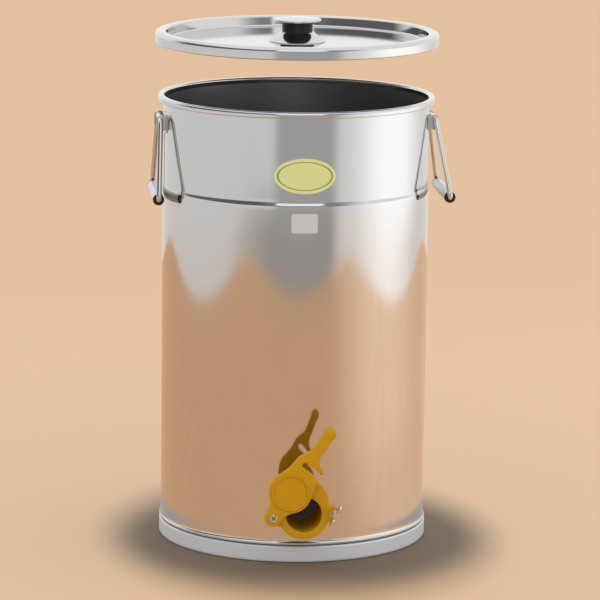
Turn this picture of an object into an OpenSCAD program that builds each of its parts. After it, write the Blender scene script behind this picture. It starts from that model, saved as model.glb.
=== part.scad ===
// Honey settling tank: a polished steel drum with a loose lid, two swinging
// handles and a plastic gate tap. The tank's axis is Z, it stands on z = 0,
// the tap points along -Y and the handles are on the +X and -X sides.

/* [Tank] */
// Outer diameter of the lower wall
body_d = 306; // [270:1:340]
// Height of the rolled rim above the ground
tank_h = 514; // [470:1:600]
// Thickness of the steel sheet
sheet_t = 0.8; // [0.6:0.1:1.2]
// How far the upper band is drawn in, measured on the radius
band_inset = 1; // [0.8:0.1:2]
// Height of the upper band, from the shoulder to the top of the rim
band_h = 100; // [90:1:130]
// Height of the sloping step between the lower wall and the band
shoulder_h = 8; // [6:1:14]
// Outer diameter of the rolled rim
rim_roll_d = 7.2; // [6:0.1:9]
// How far the bottom seam stands out from the wall
seam_out = 1.8; // [1.4:0.1:2.4]
// Height of the bottom seam
seam_h = 11; // [8:0.1:11.5]
// Height of the upturned lip of the tank's floor
floor_lip_h = 15; // [10:1:18]

/* [Foot ring] */
// How far the foot ring stands out from the tank's wall, on the radius
foot_out = 2; // [1:0.5:4]
// Height of the foot ring
foot_h = 19; // [15:1:26]
// Thickness of the foot ring's sheet
foot_t = 1; // [0.8:0.1:1.6]
// Width of the ledge that carries the tank's floor
foot_ledge_w = 14; // [10:1:20]
// Width of the turned-in edge that stands on the ground
foot_tread_w = 8; // [6:1:12]
// Height of the open groove between the foot ring and the bottom seam
foot_groove_h = 1.4; // [1:0.1:2]

/* [Labels] */
// Width of the oval label
label_w = 69; // [50:1:80]
// Height of the oval label
label_h = 40; // [30:1:50]
// Distance of the oval label's centre below the rim
label_drop = 72; // [68:1:74]
// Width of the small sticker
sticker_w = 31; // [24:1:40]
// Height of the small sticker
sticker_h = 24; // [18:1:30]
// Corner radius of the small sticker
sticker_corner_r = 4; // [2:0.5:6]
// Distance of the small sticker's centre below the rim
sticker_drop = 125; // [124:1:150]
// Thickness of the label film
film_t = 0.2; // [0.1:0.05:0.4]

/* [Handles] */
// Distance of the hinge axis below the rim
hinge_drop = 26; // [25:1:32]
// Diameter of the bail wire
wire_d = 5.8; // [5:0.1:6.5]
// Width of the bail at its hinge, between the arms' axes
bail_top_w = 56; // [52:1:64]
// Width of the bail at its grip, between the arms' axes
bail_bottom_w = 115; // [100:1:125]
// Distance from the hinge axis to the grip's axis
bail_h = 88; // [80:1:96]
// Bend radius of the bail's upper corners
bail_top_bend_r = 6.5; // [5:0.5:8]
// Bend radius of the bail's lower corners
bail_low_bend_r = 4; // [3.5:0.5:6]
// How far both handles are turned round the drum from its sides, in degrees
handles_turn = 2.1; // [0:0.1:10]
// How far the left handle hangs away from the wall, in degrees
left_swing = 2.4; // [2:0.1:60]
// How far the right handle hangs away from the wall, in degrees
right_swing = 9.6; // [2:0.1:60]
// Outer diameter of the grip tube
grip_d = 13; // [12:0.5:16]
// Wall of the grip tube
grip_wall = 1; // [0.8:0.1:1.5]
// Length of the visible collar of a grip bush
bush_collar_l = 3; // [2:0.5:5]
// Length of a grip bush inside the tube
bush_plug_l = 12; // [8:1:16]
// Width of the bracket's leaf, measured round the wall
bracket_w = 46; // [42:1:56]
// Thickness of the bracket's sheet
bracket_t = 1.2; // [1:0.1:1.6]
// Length of the leaf below the hinge axis
leaf_drop = 16; // [12:1:24]
// Length of the leaf above the hinge axis
leaf_rise = 5; // [4:0.5:7]
// Width between the outer faces of the bracket's two ears
ears_w = 43; // [36:0.5:44]
// Thickness of an ear
ear_t = 1.5; // [1.2:0.1:2.5]
// Length of an ear below the hinge axis
ear_drop = 13; // [8:0.5:15]
// Width of the ear's edge round its wire hole
ear_edge = 1.3; // [1:0.1:2]
// Rounding of the ear's lower corner
ear_corner_r = 4; // [2:0.5:5]
// Room between the bracket's leaf and the wire
hinge_gap = 1.5; // [1:0.1:3]

/* [Lid] */
// Height at which the lid is held above its seat on the rim
lid_raise = 71.9; // [0.3:0.1:120]
// Height of the lid's skirt
skirt_h = 14.2; // [10:0.2:18]
// Radial room between the rim and the lid's skirt
skirt_gap = 3; // [2.8:0.1:5]
// Radial room between the tank's band and the lid's sunk wall
sunk_gap = 1.6; // [1.2:0.1:2.4]
// How far the sunk wall flares out towards the lid's top, on the radius
sunk_flare = 1; // [0.6:0.1:1.4]
// Depth of the sunk panel below the lid's top
sunk_depth = 12; // [10:0.1:13.5]
// Rounding of the lid's outer corner
lid_corner_r = 4; // [3:0.5:5]
// Rounding of the edge between the lid's flange and its sunk wall
lid_inner_r = 2; // [1.5:0.5:3]
// Rounding of the sunk panel's edge
panel_corner_r = 2.5; // [2:0.5:4]
// Radius of the hem turned inside the skirt's lower edge
hem_r = 0.9; // [0.7:0.1:1]

/* [Knob] */
// Diameter of the knob's polished cap
cap_d = 54.8; // [44:0.2:60]
// Height of the cap
cap_h = 5; // [3.6:0.1:7]
// Diameter of the knob's black neck
neck_d = 35; // [30:0.5:40]
// Height of the neck
neck_h = 11.5; // [10:0.5:20]
// Number of grip grooves round the neck
neck_grooves = 4; // [2:1:5]
// Depth of a grip groove
groove_depth = 0.4; // [0.2:0.1:0.4]
// Diameter of the flared ferrule at its foot
ferrule_d = 64; // [56:1:72]
// Height of the ferrule
ferrule_h = 11; // [9:0.2:16]
// Diameter of the knob's screw
knob_screw_d = 6; // [5:0.5:8]

/* [Tap] */
// Height of the tap's bore above the ground
tap_z = 66.5; // [62:0.5:90]
// How far the tap is turned round its own axis, in degrees
tap_turn = 3.4; // [0:0.1:10]
// Diameter of the tap's bore
bore_d = 40.6; // [36:0.2:44]
// Wall of the threaded spigot that passes through the tank
spigot_wall = 3.6; // [3:0.1:5]
// Radial room between the spigot and the hole in the tank
spigot_gap = 0.35; // [0.2:0.05:1]
// Distance from the bore to the pivot screw, and to the clamp bolt
pivot_r = 34.5; // [33.5:0.1:37]
// Thickness of the outer gasket at the front of the wall
gasket_t = 5.5; // [5:0.1:8]
// Least thickness of the inner gasket
inner_gasket_t = 2; // [1.5:0.1:4]
// Diameter of the collar and of the gaskets
collar_d = 62; // [60:1:68]
// Thickness of the collar
collar_t = 5.5; // [4:0.5:8]
// Length of the neck between the collar and the flange
tap_neck_l = 26; // [20:1:34]
// Wall of the tap's neck
tap_neck_wall = 4.7; // [4:0.1:6]
// Radius of the flange
flange_r = 28.5; // [27.5:0.1:30]
// How far the flange reaches up to carry the opened gate
flange_rise = 13; // [8:0.5:16]
// Thickness of the flange
flange_t = 6; // [4:0.5:8]
// Radius of the flange's ear at the pivot screw
ear_r = 9.5; // [8:0.5:11]
// Radius of the flange's ear at the clamp bolt
clamp_ear_r = 7; // [6:0.5:9]
// Height of the raised seat round the bore
seat_t = 2; // [1:0.5:3]
// Thickness of the lock nut
lock_nut_t = 11; // [8:0.5:14]
// Radius of the lock nut's body
lock_nut_r = 29.5; // [29:0.5:32]
// Radius of a grip lug on the lock nut
lug_r = 3.5; // [2.5:0.5:5]
// Number of grip lugs on the lock nut
lug_count = 6; // [4:1:8]

/* [Gate] */
// How far the gate stands open, in degrees from closed
gate_open = 53.5; // [0:0.5:95]
// Thickness of the gate
gate_t = 5.2; // [4:0.1:7]
// Radius of the gate's disc
gate_disc_r = 24.2; // [23.5:0.1:27]
// Radius of the gate's pivot eye
gate_eye_r = 10; // [8:0.5:11]
// Outer radius of the raised ring on the disc
ring_r = 21; // [18:0.5:22]
// Width of the raised ring
ring_w = 2.2; // [1.2:0.1:3]
// Height of the raised ring
ring_h = 1.5; // [0.8:0.1:1.8]
// Distance from the pivot to the centre of the lever's round tip
lever_l = 114; // [100:0.5:125]
// Radius of the lever's round tip
lever_tip_r = 7.2; // [6.5:0.1:9]
// Half the width of the lever's shaft
lever_half_w = 6.2; // [5.5:0.1:8]
// How much thicker the lever's tip is than the gate
lever_tip_rise = 0.8; // [0.4:0.1:1.5]
// Radial room between the clamp bolt and the gate's notch
notch_gap = 0.7; // [0.6:0.1:1.4]

/* [Fasteners] */
// Diameter of the pivot screw and of the clamp bolt
bolt_d = 5; // [4:0.5:6]
// Diameter of the pivot screw's head
pan_d = 9.6; // [9:0.1:12]
// Height of the pivot screw's head
pan_h = 3.2; // [2.6:0.1:4]
// Across corners of the nut and of the bolt's head
hex_d = 9.2; // [8.6:0.1:11]
// Height of the nut and of the bolt's head
hex_h = 4; // [3:0.1:5]
// Outer diameter of the flat washers
washer_d = 11; // [10:0.5:12]
// Thickness of the flat washers
washer_t = 1; // [0.8:0.1:1.6]
// Diameter of the wing nut's hub
wing_hub_d = 9.5; // [8.5:0.5:12]
// Height of the wing nut's hub
wing_hub_h = 7; // [6:0.5:9]
// Span of the wing nut, from tip to tip
wing_span = 26; // [22:1:30]
// Thickness of a wing
wing_t = 2.2; // [1.6:0.1:3]
// Radius of a wing's round end
wing_r = 5; // [4:0.5:6]
// How far the wing nut is turned, in degrees
wing_turn = 58; // [0:1:180]

/* [Hidden] */
$fn = 96;
// Sides of the large round cuts that leave thin pieces
fine_sides = 360;

// Small shared clearances, and the overrun of every cut
run_gap = 0.06;
film_gap = 0.05;
press_gap = 0.05;
bolt_gap = 0.1;
seat_gap = 0.3;
over = 1;
// Steps along a rounding, a roll and an eased step
arc_steps = 8;
roll_steps = 22;
ease_steps = 10;
// Corners of the oval label's outline
oval_steps = 48;
// Tangent webs stop just inside the circles that they join
web_share = 0.995;

// Radii of the tank's wall
wall_r = body_d / 2;
wall_mid_r = wall_r - sheet_t / 2;
band_r = wall_r - band_inset;
band_mid_r = band_r - sheet_t / 2;
band_in_r = band_r - sheet_t;
roll_mid_r = (rim_roll_d - sheet_t) / 2;
roll_centre_r = band_mid_r + roll_mid_r;
rim_out_r = roll_centre_r + rim_roll_d / 2;
// The roll stays open by this angle below the rim
roll_end_deg = -120;

// Heights of the tank's seam, shoulder and hinge
seam_z = foot_h + foot_groove_h;
seam_curl_share = 0.14;
seam_curl_r = seam_h * seam_curl_share;
seam_ease_share = 0.8;
shoulder_z = tank_h - band_h;
hinge_z = tank_h - hinge_drop;
floor_corner_r = 4;
floor_mid_r = wall_r - sheet_t - press_gap - sheet_t / 2;
foot_mid_r = wall_r + foot_out - foot_t / 2;
foot_top_bend_r = 1.5;
foot_low_bend_r = 3;

// Places in the handles
wire_r = wire_d / 2;
wire_hole_r = wire_r + run_gap;
ear_end_r = wire_hole_r + ear_edge;
leaf_in_r = band_r + film_gap;
hinge_r = leaf_in_r + bracket_t + hinge_gap + wire_hole_r;
grip_r = grip_d / 2;
arm_run = [(bail_bottom_w - bail_top_w) / 2, bail_h];
arm_lean = atan2(arm_run[0], arm_run[1]);
low_turn = 90 + arm_lean;
low_tangent_l = bail_low_bend_r * tan(low_turn / 2);
collar_gap = 0.4;
bush_face_y = bail_bottom_w / 2 - low_tangent_l - collar_gap;
tube_half_l = bush_face_y - bush_collar_l;
stub_end_y = tube_half_l - bush_plug_l + over;
// A bend is a little thicker than the wire, which runs a little way into it
bend_swell = 0.05;
bend_lap = 0.3;

// Places in the lid and its knob
lid_z = tank_h + lid_raise;
lid_top_mid_z = lid_z + sheet_t / 2;
skirt_mid_r = rim_out_r + skirt_gap + sheet_t / 2;
sunk_mid_r = band_in_r - sunk_gap - sheet_t / 2;
panel_top_z = lid_z + sheet_t - sunk_depth;
panel_mid_z = panel_top_z - sheet_t / 2;
knob_hole_r = knob_screw_d / 2 + seat_gap;
neck_z = panel_top_z + ferrule_h;
cap_z = neck_z + neck_h;
ferrule_neck_gap = 1.4;
ferrule_curve_share = 1.15;
insert_wall = 2;
insert_r = knob_screw_d / 2 + press_gap + insert_wall;
insert_h_share = 0.7;
cap_edge_share = 0.55;
cap_dome_h_share = 0.16;
cap_edge_z_share = 0.42;
knob_washer_t = 1.6;
knob_washer_d_share = 3;
knob_head_d_share = 2;
knob_head_h_share = 0.66;
knob_drive_share = 0.4;

// Places along the tap, measured from the tank's axis
bore_r = bore_d / 2;
spigot_r = bore_r + spigot_wall;
tap_hole_r = spigot_r + spigot_gap;
collar_r = collar_d / 2;
collar_s = wall_r + gasket_t;
tap_neck_s = collar_s + collar_t;
flange_s = tap_neck_s + tap_neck_l;
seat_s = flange_s + flange_t;
gate_s = seat_s + seat_t + seat_gap;
gate_top_s = gate_s + gate_t;
wall_in_r = wall_r - sheet_t;
lock_face_s = sqrt(wall_in_r * wall_in_r - collar_r * collar_r) - inner_gasket_t;
lock_end_s = lock_face_s - lock_nut_t;
spigot_end_s = lock_end_s - spigot_wall;
tap_neck_r = bore_r + tap_neck_wall;
notch_r = bolt_d / 2 + notch_gap;
bolt_line_r = 2 * pivot_r;
pan_s = gate_top_s + seat_gap / 2;
clamp_washer_s = gate_top_s + seat_gap;
wing_s = clamp_washer_s + washer_t;
wing_lift = 2;
bolt_end_s = wing_s + wing_hub_h + washer_t;
drive_w_share = 0.13;
drive_l_share = 0.55;
drive_depth_share = 0.5;
// Points of the lever's two edges: along the gate from the notch's circle, and
// across it as shares of the disc's radius
hook_out_share = 0.77;
hook_bend_share = 0.655;
hook_root_share = 0.36;
hook_tip_l = 7;
hook_bend_l = 7;
notch_deep_deg = 2.8;
shoulder_share = 0.61;
waist_share = 0.69;
waist_l = 11;
lever_root_l = 20;
hook_root_l = 16;
shoulder_l = 5;

steel = "gainsboro";
satin_steel = "silver";
zinc = "lightgray";
tap_yellow = "goldenrod";
black_plastic = [0.08, 0.08, 0.09];
label_yellow = "khaki";
rubber_grey = "dimgray";
brass = "darkkhaki";

// Outline helpers: arcs, eased steps, and a sheet of even thickness along a path
function arc(centre, r, from, to, steps) =
    [for (i = [0:steps]) let (a = from + (to - from) * i / steps) centre + r * [cos(a), sin(a)]];
function ease(from, to, steps) =
    [for (i = [0:steps]) let (s = i / steps, e = (1 - cos(180 * s)) / 2)
        [from[0] + (to[0] - from[0]) * e, from[1] + (to[1] - from[1]) * s]];
function unit(v) = v / norm(v);
function heading(path, i) = unit(path[min(i + 1, len(path) - 1)] - path[max(i - 1, 0)]);
function beside(path, i, d) = let (h = heading(path, i)) path[i] + d * [-h[1], h[0]];
function sheet(path, t) = concat(
    [for (i = [0:len(path) - 1]) beside(path, i, t / 2)],
    [for (i = [len(path) - 1:-1:0]) beside(path, i, -t / 2)]);
function oval(w, h, steps) =
    [for (i = [0:steps - 1]) let (a = 360 * i / steps) [w / 2 * cos(a), h / 2 * sin(a)]];

module spun(path, t) { rotate_extrude() polygon(sheet(path, t)); }

module tube(r_out, r_in, h) {
    difference() {
        cylinder(r = r_out, h = h);
        translate([0, 0, -over]) cylinder(r = r_in, h = h + 2 * over);
    }
}

// Two circles and the straight web that touches them both, along X
module link_outline(length, r_from, r_to) {
    lean = acos((r_from - r_to) / length);
    from = web_share * r_from * [cos(lean), sin(lean)];
    to = web_share * r_to * [cos(lean), sin(lean)];
    circle(r = r_from);
    translate([length, 0]) circle(r = r_to);
    polygon([from, [length + to[0], to[1]], [length + to[0], -to[1]], [from[0], -from[1]]]);
}

// Tank

module tank_wall() {
    path = concat(
        arc([wall_mid_r + seam_out - seam_curl_r, seam_z + sheet_t / 2 + seam_curl_r],
            seam_curl_r, -90, 0, arc_steps),
        ease([wall_mid_r + seam_out, seam_z + seam_h * (1 - seam_ease_share)],
            [wall_mid_r, seam_z + seam_h], ease_steps),
        ease([wall_mid_r, shoulder_z - shoulder_h], [band_mid_r, shoulder_z], ease_steps),
        arc([roll_centre_r, tank_h - sheet_t / 2 - roll_mid_r], roll_mid_r, 180, roll_end_deg, roll_steps));
    color(steel) difference() {
        spun(path, sheet_t);
        tap_frame() cylinder(r = tap_hole_r, h = wall_r + over);
    }
}

module tank_floor() {
    mid_z = foot_h + sheet_t / 2;
    path = concat(
        [[0, mid_z]],
        arc([floor_mid_r - floor_corner_r, mid_z + floor_corner_r], floor_corner_r, -90, 0, arc_steps),
        [[floor_mid_r, mid_z + floor_lip_h]]);
    color(satin_steel) spun(path, sheet_t);
}

module foot_ring() {
    top_mid_z = foot_h - foot_t / 2;
    path = concat(
        [[foot_mid_r - foot_ledge_w, top_mid_z]],
        arc([foot_mid_r - foot_top_bend_r, top_mid_z - foot_top_bend_r], foot_top_bend_r, 90, 0, arc_steps),
        arc([foot_mid_r - foot_low_bend_r, foot_t / 2 + foot_low_bend_r], foot_low_bend_r, 0, -90, arc_steps),
        [for (w = [(foot_low_bend_r + foot_tread_w) / 2, foot_tread_w]) [foot_mid_r - w, foot_t / 2]]);
    color(satin_steel) spun(path, foot_t);
}

// A film label that follows the wall, cut to the outline given as children
module film(r, z) {
    intersection() {
        translate([0, 0, z]) rotate([90, 0, 0]) linear_extrude(r + over) children();
        tube(r + film_gap + film_t, r + film_gap, tank_h, $fn = fine_sides);
    }
}

module oval_label() {
    color(label_yellow) film(band_r, tank_h - label_drop)
        polygon(oval(label_w, label_h, oval_steps));
}

module small_sticker() {
    inner = [sticker_w / 2 - sticker_corner_r, sticker_h / 2 - sticker_corner_r];
    outline = concat(
        arc([inner[0], inner[1]], sticker_corner_r, 0, 90, arc_steps),
        arc([-inner[0], inner[1]], sticker_corner_r, 90, 180, arc_steps),
        arc([-inner[0], -inner[1]], sticker_corner_r, 180, 270, arc_steps),
        arc([inner[0], -inner[1]], sticker_corner_r, 270, 360, arc_steps));
    color(steel) film(wall_r, tank_h - sticker_drop) polygon(outline);
}

// Handles: each is drawn on the +X side and turned to its own side

module on_side(side) { rotate([0, 0, handles_turn + (side > 0 ? 0 : 180)]) children(); }

module at_hinge(swing) { translate([hinge_r, 0, hinge_z]) rotate([0, -swing, 0]) children(); }

module along_y(y) { translate([0, y, 0]) rotate([-90, 0, 0]) children(); }

// An ear in the hinge's own plane: x runs outwards and y upwards from the wire
module ear_outline(root_x) {
    polygon(concat(
        [[root_x, -ear_drop]],
        arc([ear_end_r - ear_corner_r, ear_corner_r - ear_drop], ear_corner_r, -90, 0, arc_steps),
        arc([0, 0], ear_end_r, 0, 90, arc_steps),
        [[root_x, ear_end_r]]));
}

module bracket(side) {
    leaf_deg = 2 * asin(bracket_w / 2 / leaf_in_r);
    root_x = leaf_in_r * cos(leaf_deg / 2) - hinge_r;
    color(zinc) on_side(side) difference() {
        union() {
            rotate([0, 0, -leaf_deg / 2]) rotate_extrude(angle = leaf_deg)
                translate([leaf_in_r, hinge_z - leaf_drop]) square([bracket_t, leaf_drop + leaf_rise]);
            difference() {
                for (face = [-ears_w / 2, ears_w / 2 - ear_t])
                    translate([hinge_r, face + ear_t, hinge_z]) rotate([90, 0, 0])
                        linear_extrude(ear_t) ear_outline(root_x);
                translate([0, 0, hinge_z - leaf_drop]) cylinder(r = leaf_in_r, h = leaf_drop + leaf_rise);
            }
        }
        translate([hinge_r, 0, hinge_z]) along_y(-ears_w) cylinder(r = wire_hole_r, h = 2 * ears_w);
    }
}

module left_bracket() { bracket(-1); }
module right_bracket() { bracket(1); }

// Round wire along flat corner points, every corner turning to the left
module bent_wire(points, bends, d) {
    last = len(points) - 1;
    dirs = [for (i = [0:last - 1]) unit(points[i + 1] - points[i])];
    turns = [for (i = [1:last - 1]) acos(dirs[i - 1] * dirs[i])];
    cuts = [for (i = [0:last]) i == 0 || i == last ? 0 : bends[i - 1] * tan(turns[i - 1] / 2)];
    for (i = [0:last - 1]) {
        from = points[i] + dirs[i] * (cuts[i] - (i == 0 ? 0 : bend_lap));
        to = points[i + 1] - dirs[i] * (cuts[i + 1] - (i == last - 1 ? 0 : bend_lap));
        translate(from) rotate([0, 0, atan2(dirs[i][1], dirs[i][0])]) rotate([0, 90, 0])
            cylinder(d = d, h = norm(to - from));
    }
    for (i = [1:last - 1]) {
        start = points[i] - dirs[i - 1] * cuts[i];
        centre = start + bends[i - 1] * [-dirs[i - 1][1], dirs[i - 1][0]];
        translate(centre) rotate([0, 0, atan2(dirs[i - 1][1], dirs[i - 1][0]) - 90])
            rotate_extrude(angle = turns[i - 1]) translate([bends[i - 1], 0]) circle(r = d / 2 + bend_swell);
    }
}

module bail(side, swing) {
    top = bail_top_w / 2;
    low = bail_bottom_w / 2;
    color(zinc) on_side(side) at_hinge(swing) rotate([90, 0, 90])
        bent_wire(
            [[stub_end_y, -bail_h], [low, -bail_h], [top, 0], [-top, 0], [-low, -bail_h], [-stub_end_y, -bail_h]],
            [bail_low_bend_r, bail_top_bend_r, bail_top_bend_r, bail_low_bend_r], wire_d);
}

module left_bail() { bail(-1, left_swing); }
module right_bail() { bail(1, right_swing); }

module at_grip(side, swing) { on_side(side) at_hinge(swing) translate([0, 0, -bail_h]) children(); }

module grip_tube(side, swing) {
    color(steel) at_grip(side, swing) along_y(-tube_half_l)
        tube(grip_r, grip_r - grip_wall, 2 * tube_half_l);
}

module left_grip_tube() { grip_tube(-1, left_swing); }
module right_grip_tube() { grip_tube(1, right_swing); }

module grip_bushes(side, swing) {
    plug_r = grip_r - grip_wall - press_gap;
    color(black_plastic) at_grip(side, swing) for (turn = [0, 180])
        rotate([0, 0, turn]) along_y(tube_half_l - bush_plug_l) difference() {
            union() {
                cylinder(r = plug_r, h = bush_plug_l);
                translate([0, 0, bush_plug_l]) cylinder(r = grip_r, h = bush_collar_l);
            }
            translate([0, 0, -over]) cylinder(r = wire_hole_r, h = bush_plug_l + bush_collar_l + 2 * over);
        }
}

module left_grip_bushes() { grip_bushes(-1, left_swing); }
module right_grip_bushes() { grip_bushes(1, right_swing); }

// Lid and knob

module lid_pan() {
    low_mid_z = lid_z + sheet_t - skirt_h + sheet_t / 2;
    path = concat(
        arc([skirt_mid_r - hem_r, low_mid_z + hem_r], hem_r, -180, 0, arc_steps),
        arc([skirt_mid_r - lid_corner_r, lid_top_mid_z - lid_corner_r], lid_corner_r, 0, 90, arc_steps),
        arc([sunk_mid_r + sunk_flare + lid_inner_r, lid_top_mid_z - lid_inner_r], lid_inner_r, 90, 180, arc_steps),
        arc([sunk_mid_r - panel_corner_r, panel_mid_z + panel_corner_r], panel_corner_r, 0, -90, arc_steps),
        [[knob_hole_r, panel_mid_z]]);
    color(steel) spun(path, sheet_t);
}

module knob_ferrule() {
    top_r = neck_d / 2 + ferrule_neck_gap;
    foot_r = ferrule_d / 2;
    rise = ferrule_h - sheet_t;
    path = concat(
        [for (i = [0:ease_steps]) let (s = i / ease_steps)
            [top_r + (foot_r - top_r) * pow(1 - s, ferrule_curve_share), panel_top_z + sheet_t / 2 + rise * s]],
        [[knob_hole_r, panel_top_z + sheet_t / 2 + rise]]);
    color(steel) spun(path, sheet_t);
}

module knob_neck() {
    pitch = neck_h / (2 * neck_grooves + 1);
    r = neck_d / 2;
    side = [for (i = [0:neck_grooves - 1]) let (z = (2 * i + 1) * pitch) each [
        [r, z], [r - groove_depth, z + groove_depth],
        [r - groove_depth, z + pitch - groove_depth], [r, z + pitch]]];
    bore = insert_r + press_gap;
    bore_top = neck_h * insert_h_share;
    color(black_plastic) translate([0, 0, neck_z]) rotate_extrude()
        polygon(concat([[bore, 0], [r, 0]], side, [[r, neck_h], [0, neck_h], [0, bore_top], [bore, bore_top]]));
}

module knob_cap() {
    r = cap_d / 2;
    edge_r = cap_h * cap_edge_share / 2;
    edge_z = cap_h * cap_edge_z_share;
    dome_h = cap_h * cap_dome_h_share;
    rim_top = edge_z + edge_r;
    dome = [for (i = [1:ease_steps]) let (s = 1 - i / ease_steps)
        [(r - edge_r) * s, rim_top + (cap_h - rim_top) * (1 - s * s)]];
    underside = neck_d / 2 + dome_h;
    color(steel) translate([0, 0, cap_z]) rotate_extrude()
        polygon(concat([[0, 0], [underside, 0]], arc([r - edge_r, edge_z], edge_r, -90, 90, arc_steps), dome));
}

module knob_insert() {
    color(brass) translate([0, 0, neck_z])
        tube(insert_r, knob_screw_d / 2 + press_gap, neck_h * insert_h_share - press_gap);
}

module knob_screw() {
    washer_z = panel_top_z - sheet_t - knob_washer_t;
    head_h = knob_screw_d * knob_head_h_share;
    reach = neck_z + neck_h * insert_h_share - seat_gap - washer_z;
    color(zinc) difference() {
        union() {
            translate([0, 0, washer_z - head_h]) cylinder(d = knob_screw_d * knob_head_d_share, h = head_h);
            translate([0, 0, washer_z]) cylinder(d = knob_screw_d, h = reach);
        }
        translate([0, 0, washer_z - head_h - over])
            cylinder(r = knob_screw_d * knob_drive_share, h = over + head_h / 2, $fn = 6);
    }
}

module knob_washer() {
    color(zinc) translate([0, 0, panel_top_z - sheet_t - knob_washer_t])
        tube(knob_screw_d * knob_washer_d_share / 2, knob_hole_r, knob_washer_t);
}

// Tap: drawn with its axis along Z, then laid along -Y at the tap's height

module tap_frame() { translate([0, 0, tap_z]) rotate([90, 0, 0]) rotate([0, 0, tap_turn]) children(); }

module at_pivot(s) { tap_frame() translate([-pivot_r, 0, s]) children(); }

module at_clamp(s) { tap_frame() translate([pivot_r, 0, s]) children(); }

module tap_body() {
    color(tap_yellow) tap_frame() difference() {
        union() {
            translate([0, 0, spigot_end_s]) cylinder(r = spigot_r, h = collar_s - spigot_end_s);
            translate([0, 0, collar_s]) cylinder(r = collar_r, h = collar_t);
            translate([0, 0, tap_neck_s]) cylinder(r = tap_neck_r, h = tap_neck_l);
            translate([0, 0, flange_s]) linear_extrude(flange_t) {
                circle(r = flange_r);
                translate([0, flange_rise]) circle(r = flange_r);
                translate([-flange_r, 0]) square([2 * flange_r, flange_rise]);
                link_outline(pivot_r, bore_r, clamp_ear_r);
                rotate([0, 0, 180]) link_outline(pivot_r, bore_r, ear_r);
            }
            translate([0, 0, seat_s]) cylinder(r = flange_r, h = seat_t);
            translate([-pivot_r, 0, seat_s]) cylinder(r = ear_r, h = seat_t);
            translate([pivot_r, 0, seat_s]) cylinder(r = clamp_ear_r, h = seat_t);
        }
        translate([0, 0, spigot_end_s - over]) cylinder(r = bore_r, h = seat_s + seat_t - spigot_end_s + 2 * over);
        for (x = [-pivot_r, pivot_r]) translate([x, 0, flange_s - over])
            cylinder(r = bolt_d / 2 + bolt_gap, h = flange_t + seat_t + 2 * over);
    }
}

module tap_outer_gasket() {
    depth = collar_s - sqrt(wall_r * wall_r - collar_r * collar_r);
    color(rubber_grey) difference() {
        tap_frame() translate([0, 0, collar_s - depth]) tube(collar_r, tap_hole_r, depth);
        cylinder(r = wall_r + film_gap, h = tank_h, $fn = fine_sides);
    }
}

module tap_inner_gasket() {
    color(rubber_grey) intersection() {
        tap_frame() translate([0, 0, lock_face_s]) tube(collar_r, tap_hole_r, wall_in_r - lock_face_s);
        cylinder(r = wall_in_r - film_gap, h = tank_h, $fn = fine_sides);
    }
}

module tap_lock_nut() {
    color(tap_yellow) tap_frame() translate([0, 0, lock_end_s]) difference() {
        union() {
            cylinder(r = lock_nut_r, h = lock_nut_t);
            for (i = [0:lug_count - 1]) rotate([0, 0, 360 * i / lug_count])
                translate([lock_nut_r, 0, 0]) cylinder(r = lug_r, h = lock_nut_t);
        }
        translate([0, 0, -over]) cylinder(r = spigot_r + press_gap, h = lock_nut_t + 2 * over);
    }
}

// The gate lies along X from its pivot at the origin; its notch hooks over the clamp bolt when closed

module gate_outline() {
    link_outline(pivot_r, gate_eye_r, gate_disc_r);
    translate([lever_l, 0]) circle(r = lever_tip_r);
    r = gate_disc_r;
    polygon([
        [pivot_r, r * web_share],
        [bolt_line_r - waist_l, r * waist_share],
        [bolt_line_r + shoulder_l, r * shoulder_share],
        [bolt_line_r + lever_root_l, lever_half_w],
        [lever_l, lever_half_w],
        [lever_l, -lever_half_w],
        [bolt_line_r + hook_root_l, -lever_half_w],
        [bolt_line_r + hook_bend_l + hook_tip_l / 2, -r * hook_root_share],
        [bolt_line_r + hook_bend_l, -r * hook_bend_share],
        [bolt_line_r + hook_tip_l / 2, -r * hook_out_share],
        [bolt_line_r - hook_tip_l / 2, -r * hook_out_share],
        [pivot_r, -r * web_share]]);
}

module notch_outline() {
    mouth_deg = 40;
    steps = 12;
    end_step = 180 / (steps + 2);
    end_at = bolt_line_r * [cos(notch_deep_deg), sin(notch_deep_deg)];
    polygon(concat(
        arc([0, 0], bolt_line_r - notch_r, -mouth_deg, notch_deep_deg, steps),
        arc(end_at, notch_r, 180 + notch_deep_deg - end_step, notch_deep_deg + end_step, steps),
        arc([0, 0], bolt_line_r + notch_r, notch_deep_deg, -mouth_deg, steps)));
}

module gate_plate() {
    color(tap_yellow) at_pivot(gate_s) rotate([0, 0, gate_open]) difference() {
        union() {
            linear_extrude(gate_t) difference() {
                gate_outline();
                notch_outline();
            }
            translate([pivot_r, 0, gate_t]) tube(ring_r, ring_r - ring_w, ring_h);
            translate([lever_l, 0, gate_t]) cylinder(r = lever_tip_r - lever_tip_rise, h = lever_tip_rise);
        }
        translate([0, 0, -over]) cylinder(r = bolt_d / 2 + run_gap, h = gate_t + 2 * over);
    }
}

// Fasteners of the tap

module hex_nut() {
    difference() {
        cylinder(d = hex_d, h = hex_h, $fn = 6);
        translate([0, 0, -over]) cylinder(r = bolt_d / 2 + press_gap, h = hex_h + 2 * over);
    }
}

module flat_washer() { tube(washer_d / 2, bolt_d / 2 + bolt_gap, washer_t); }

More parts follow.
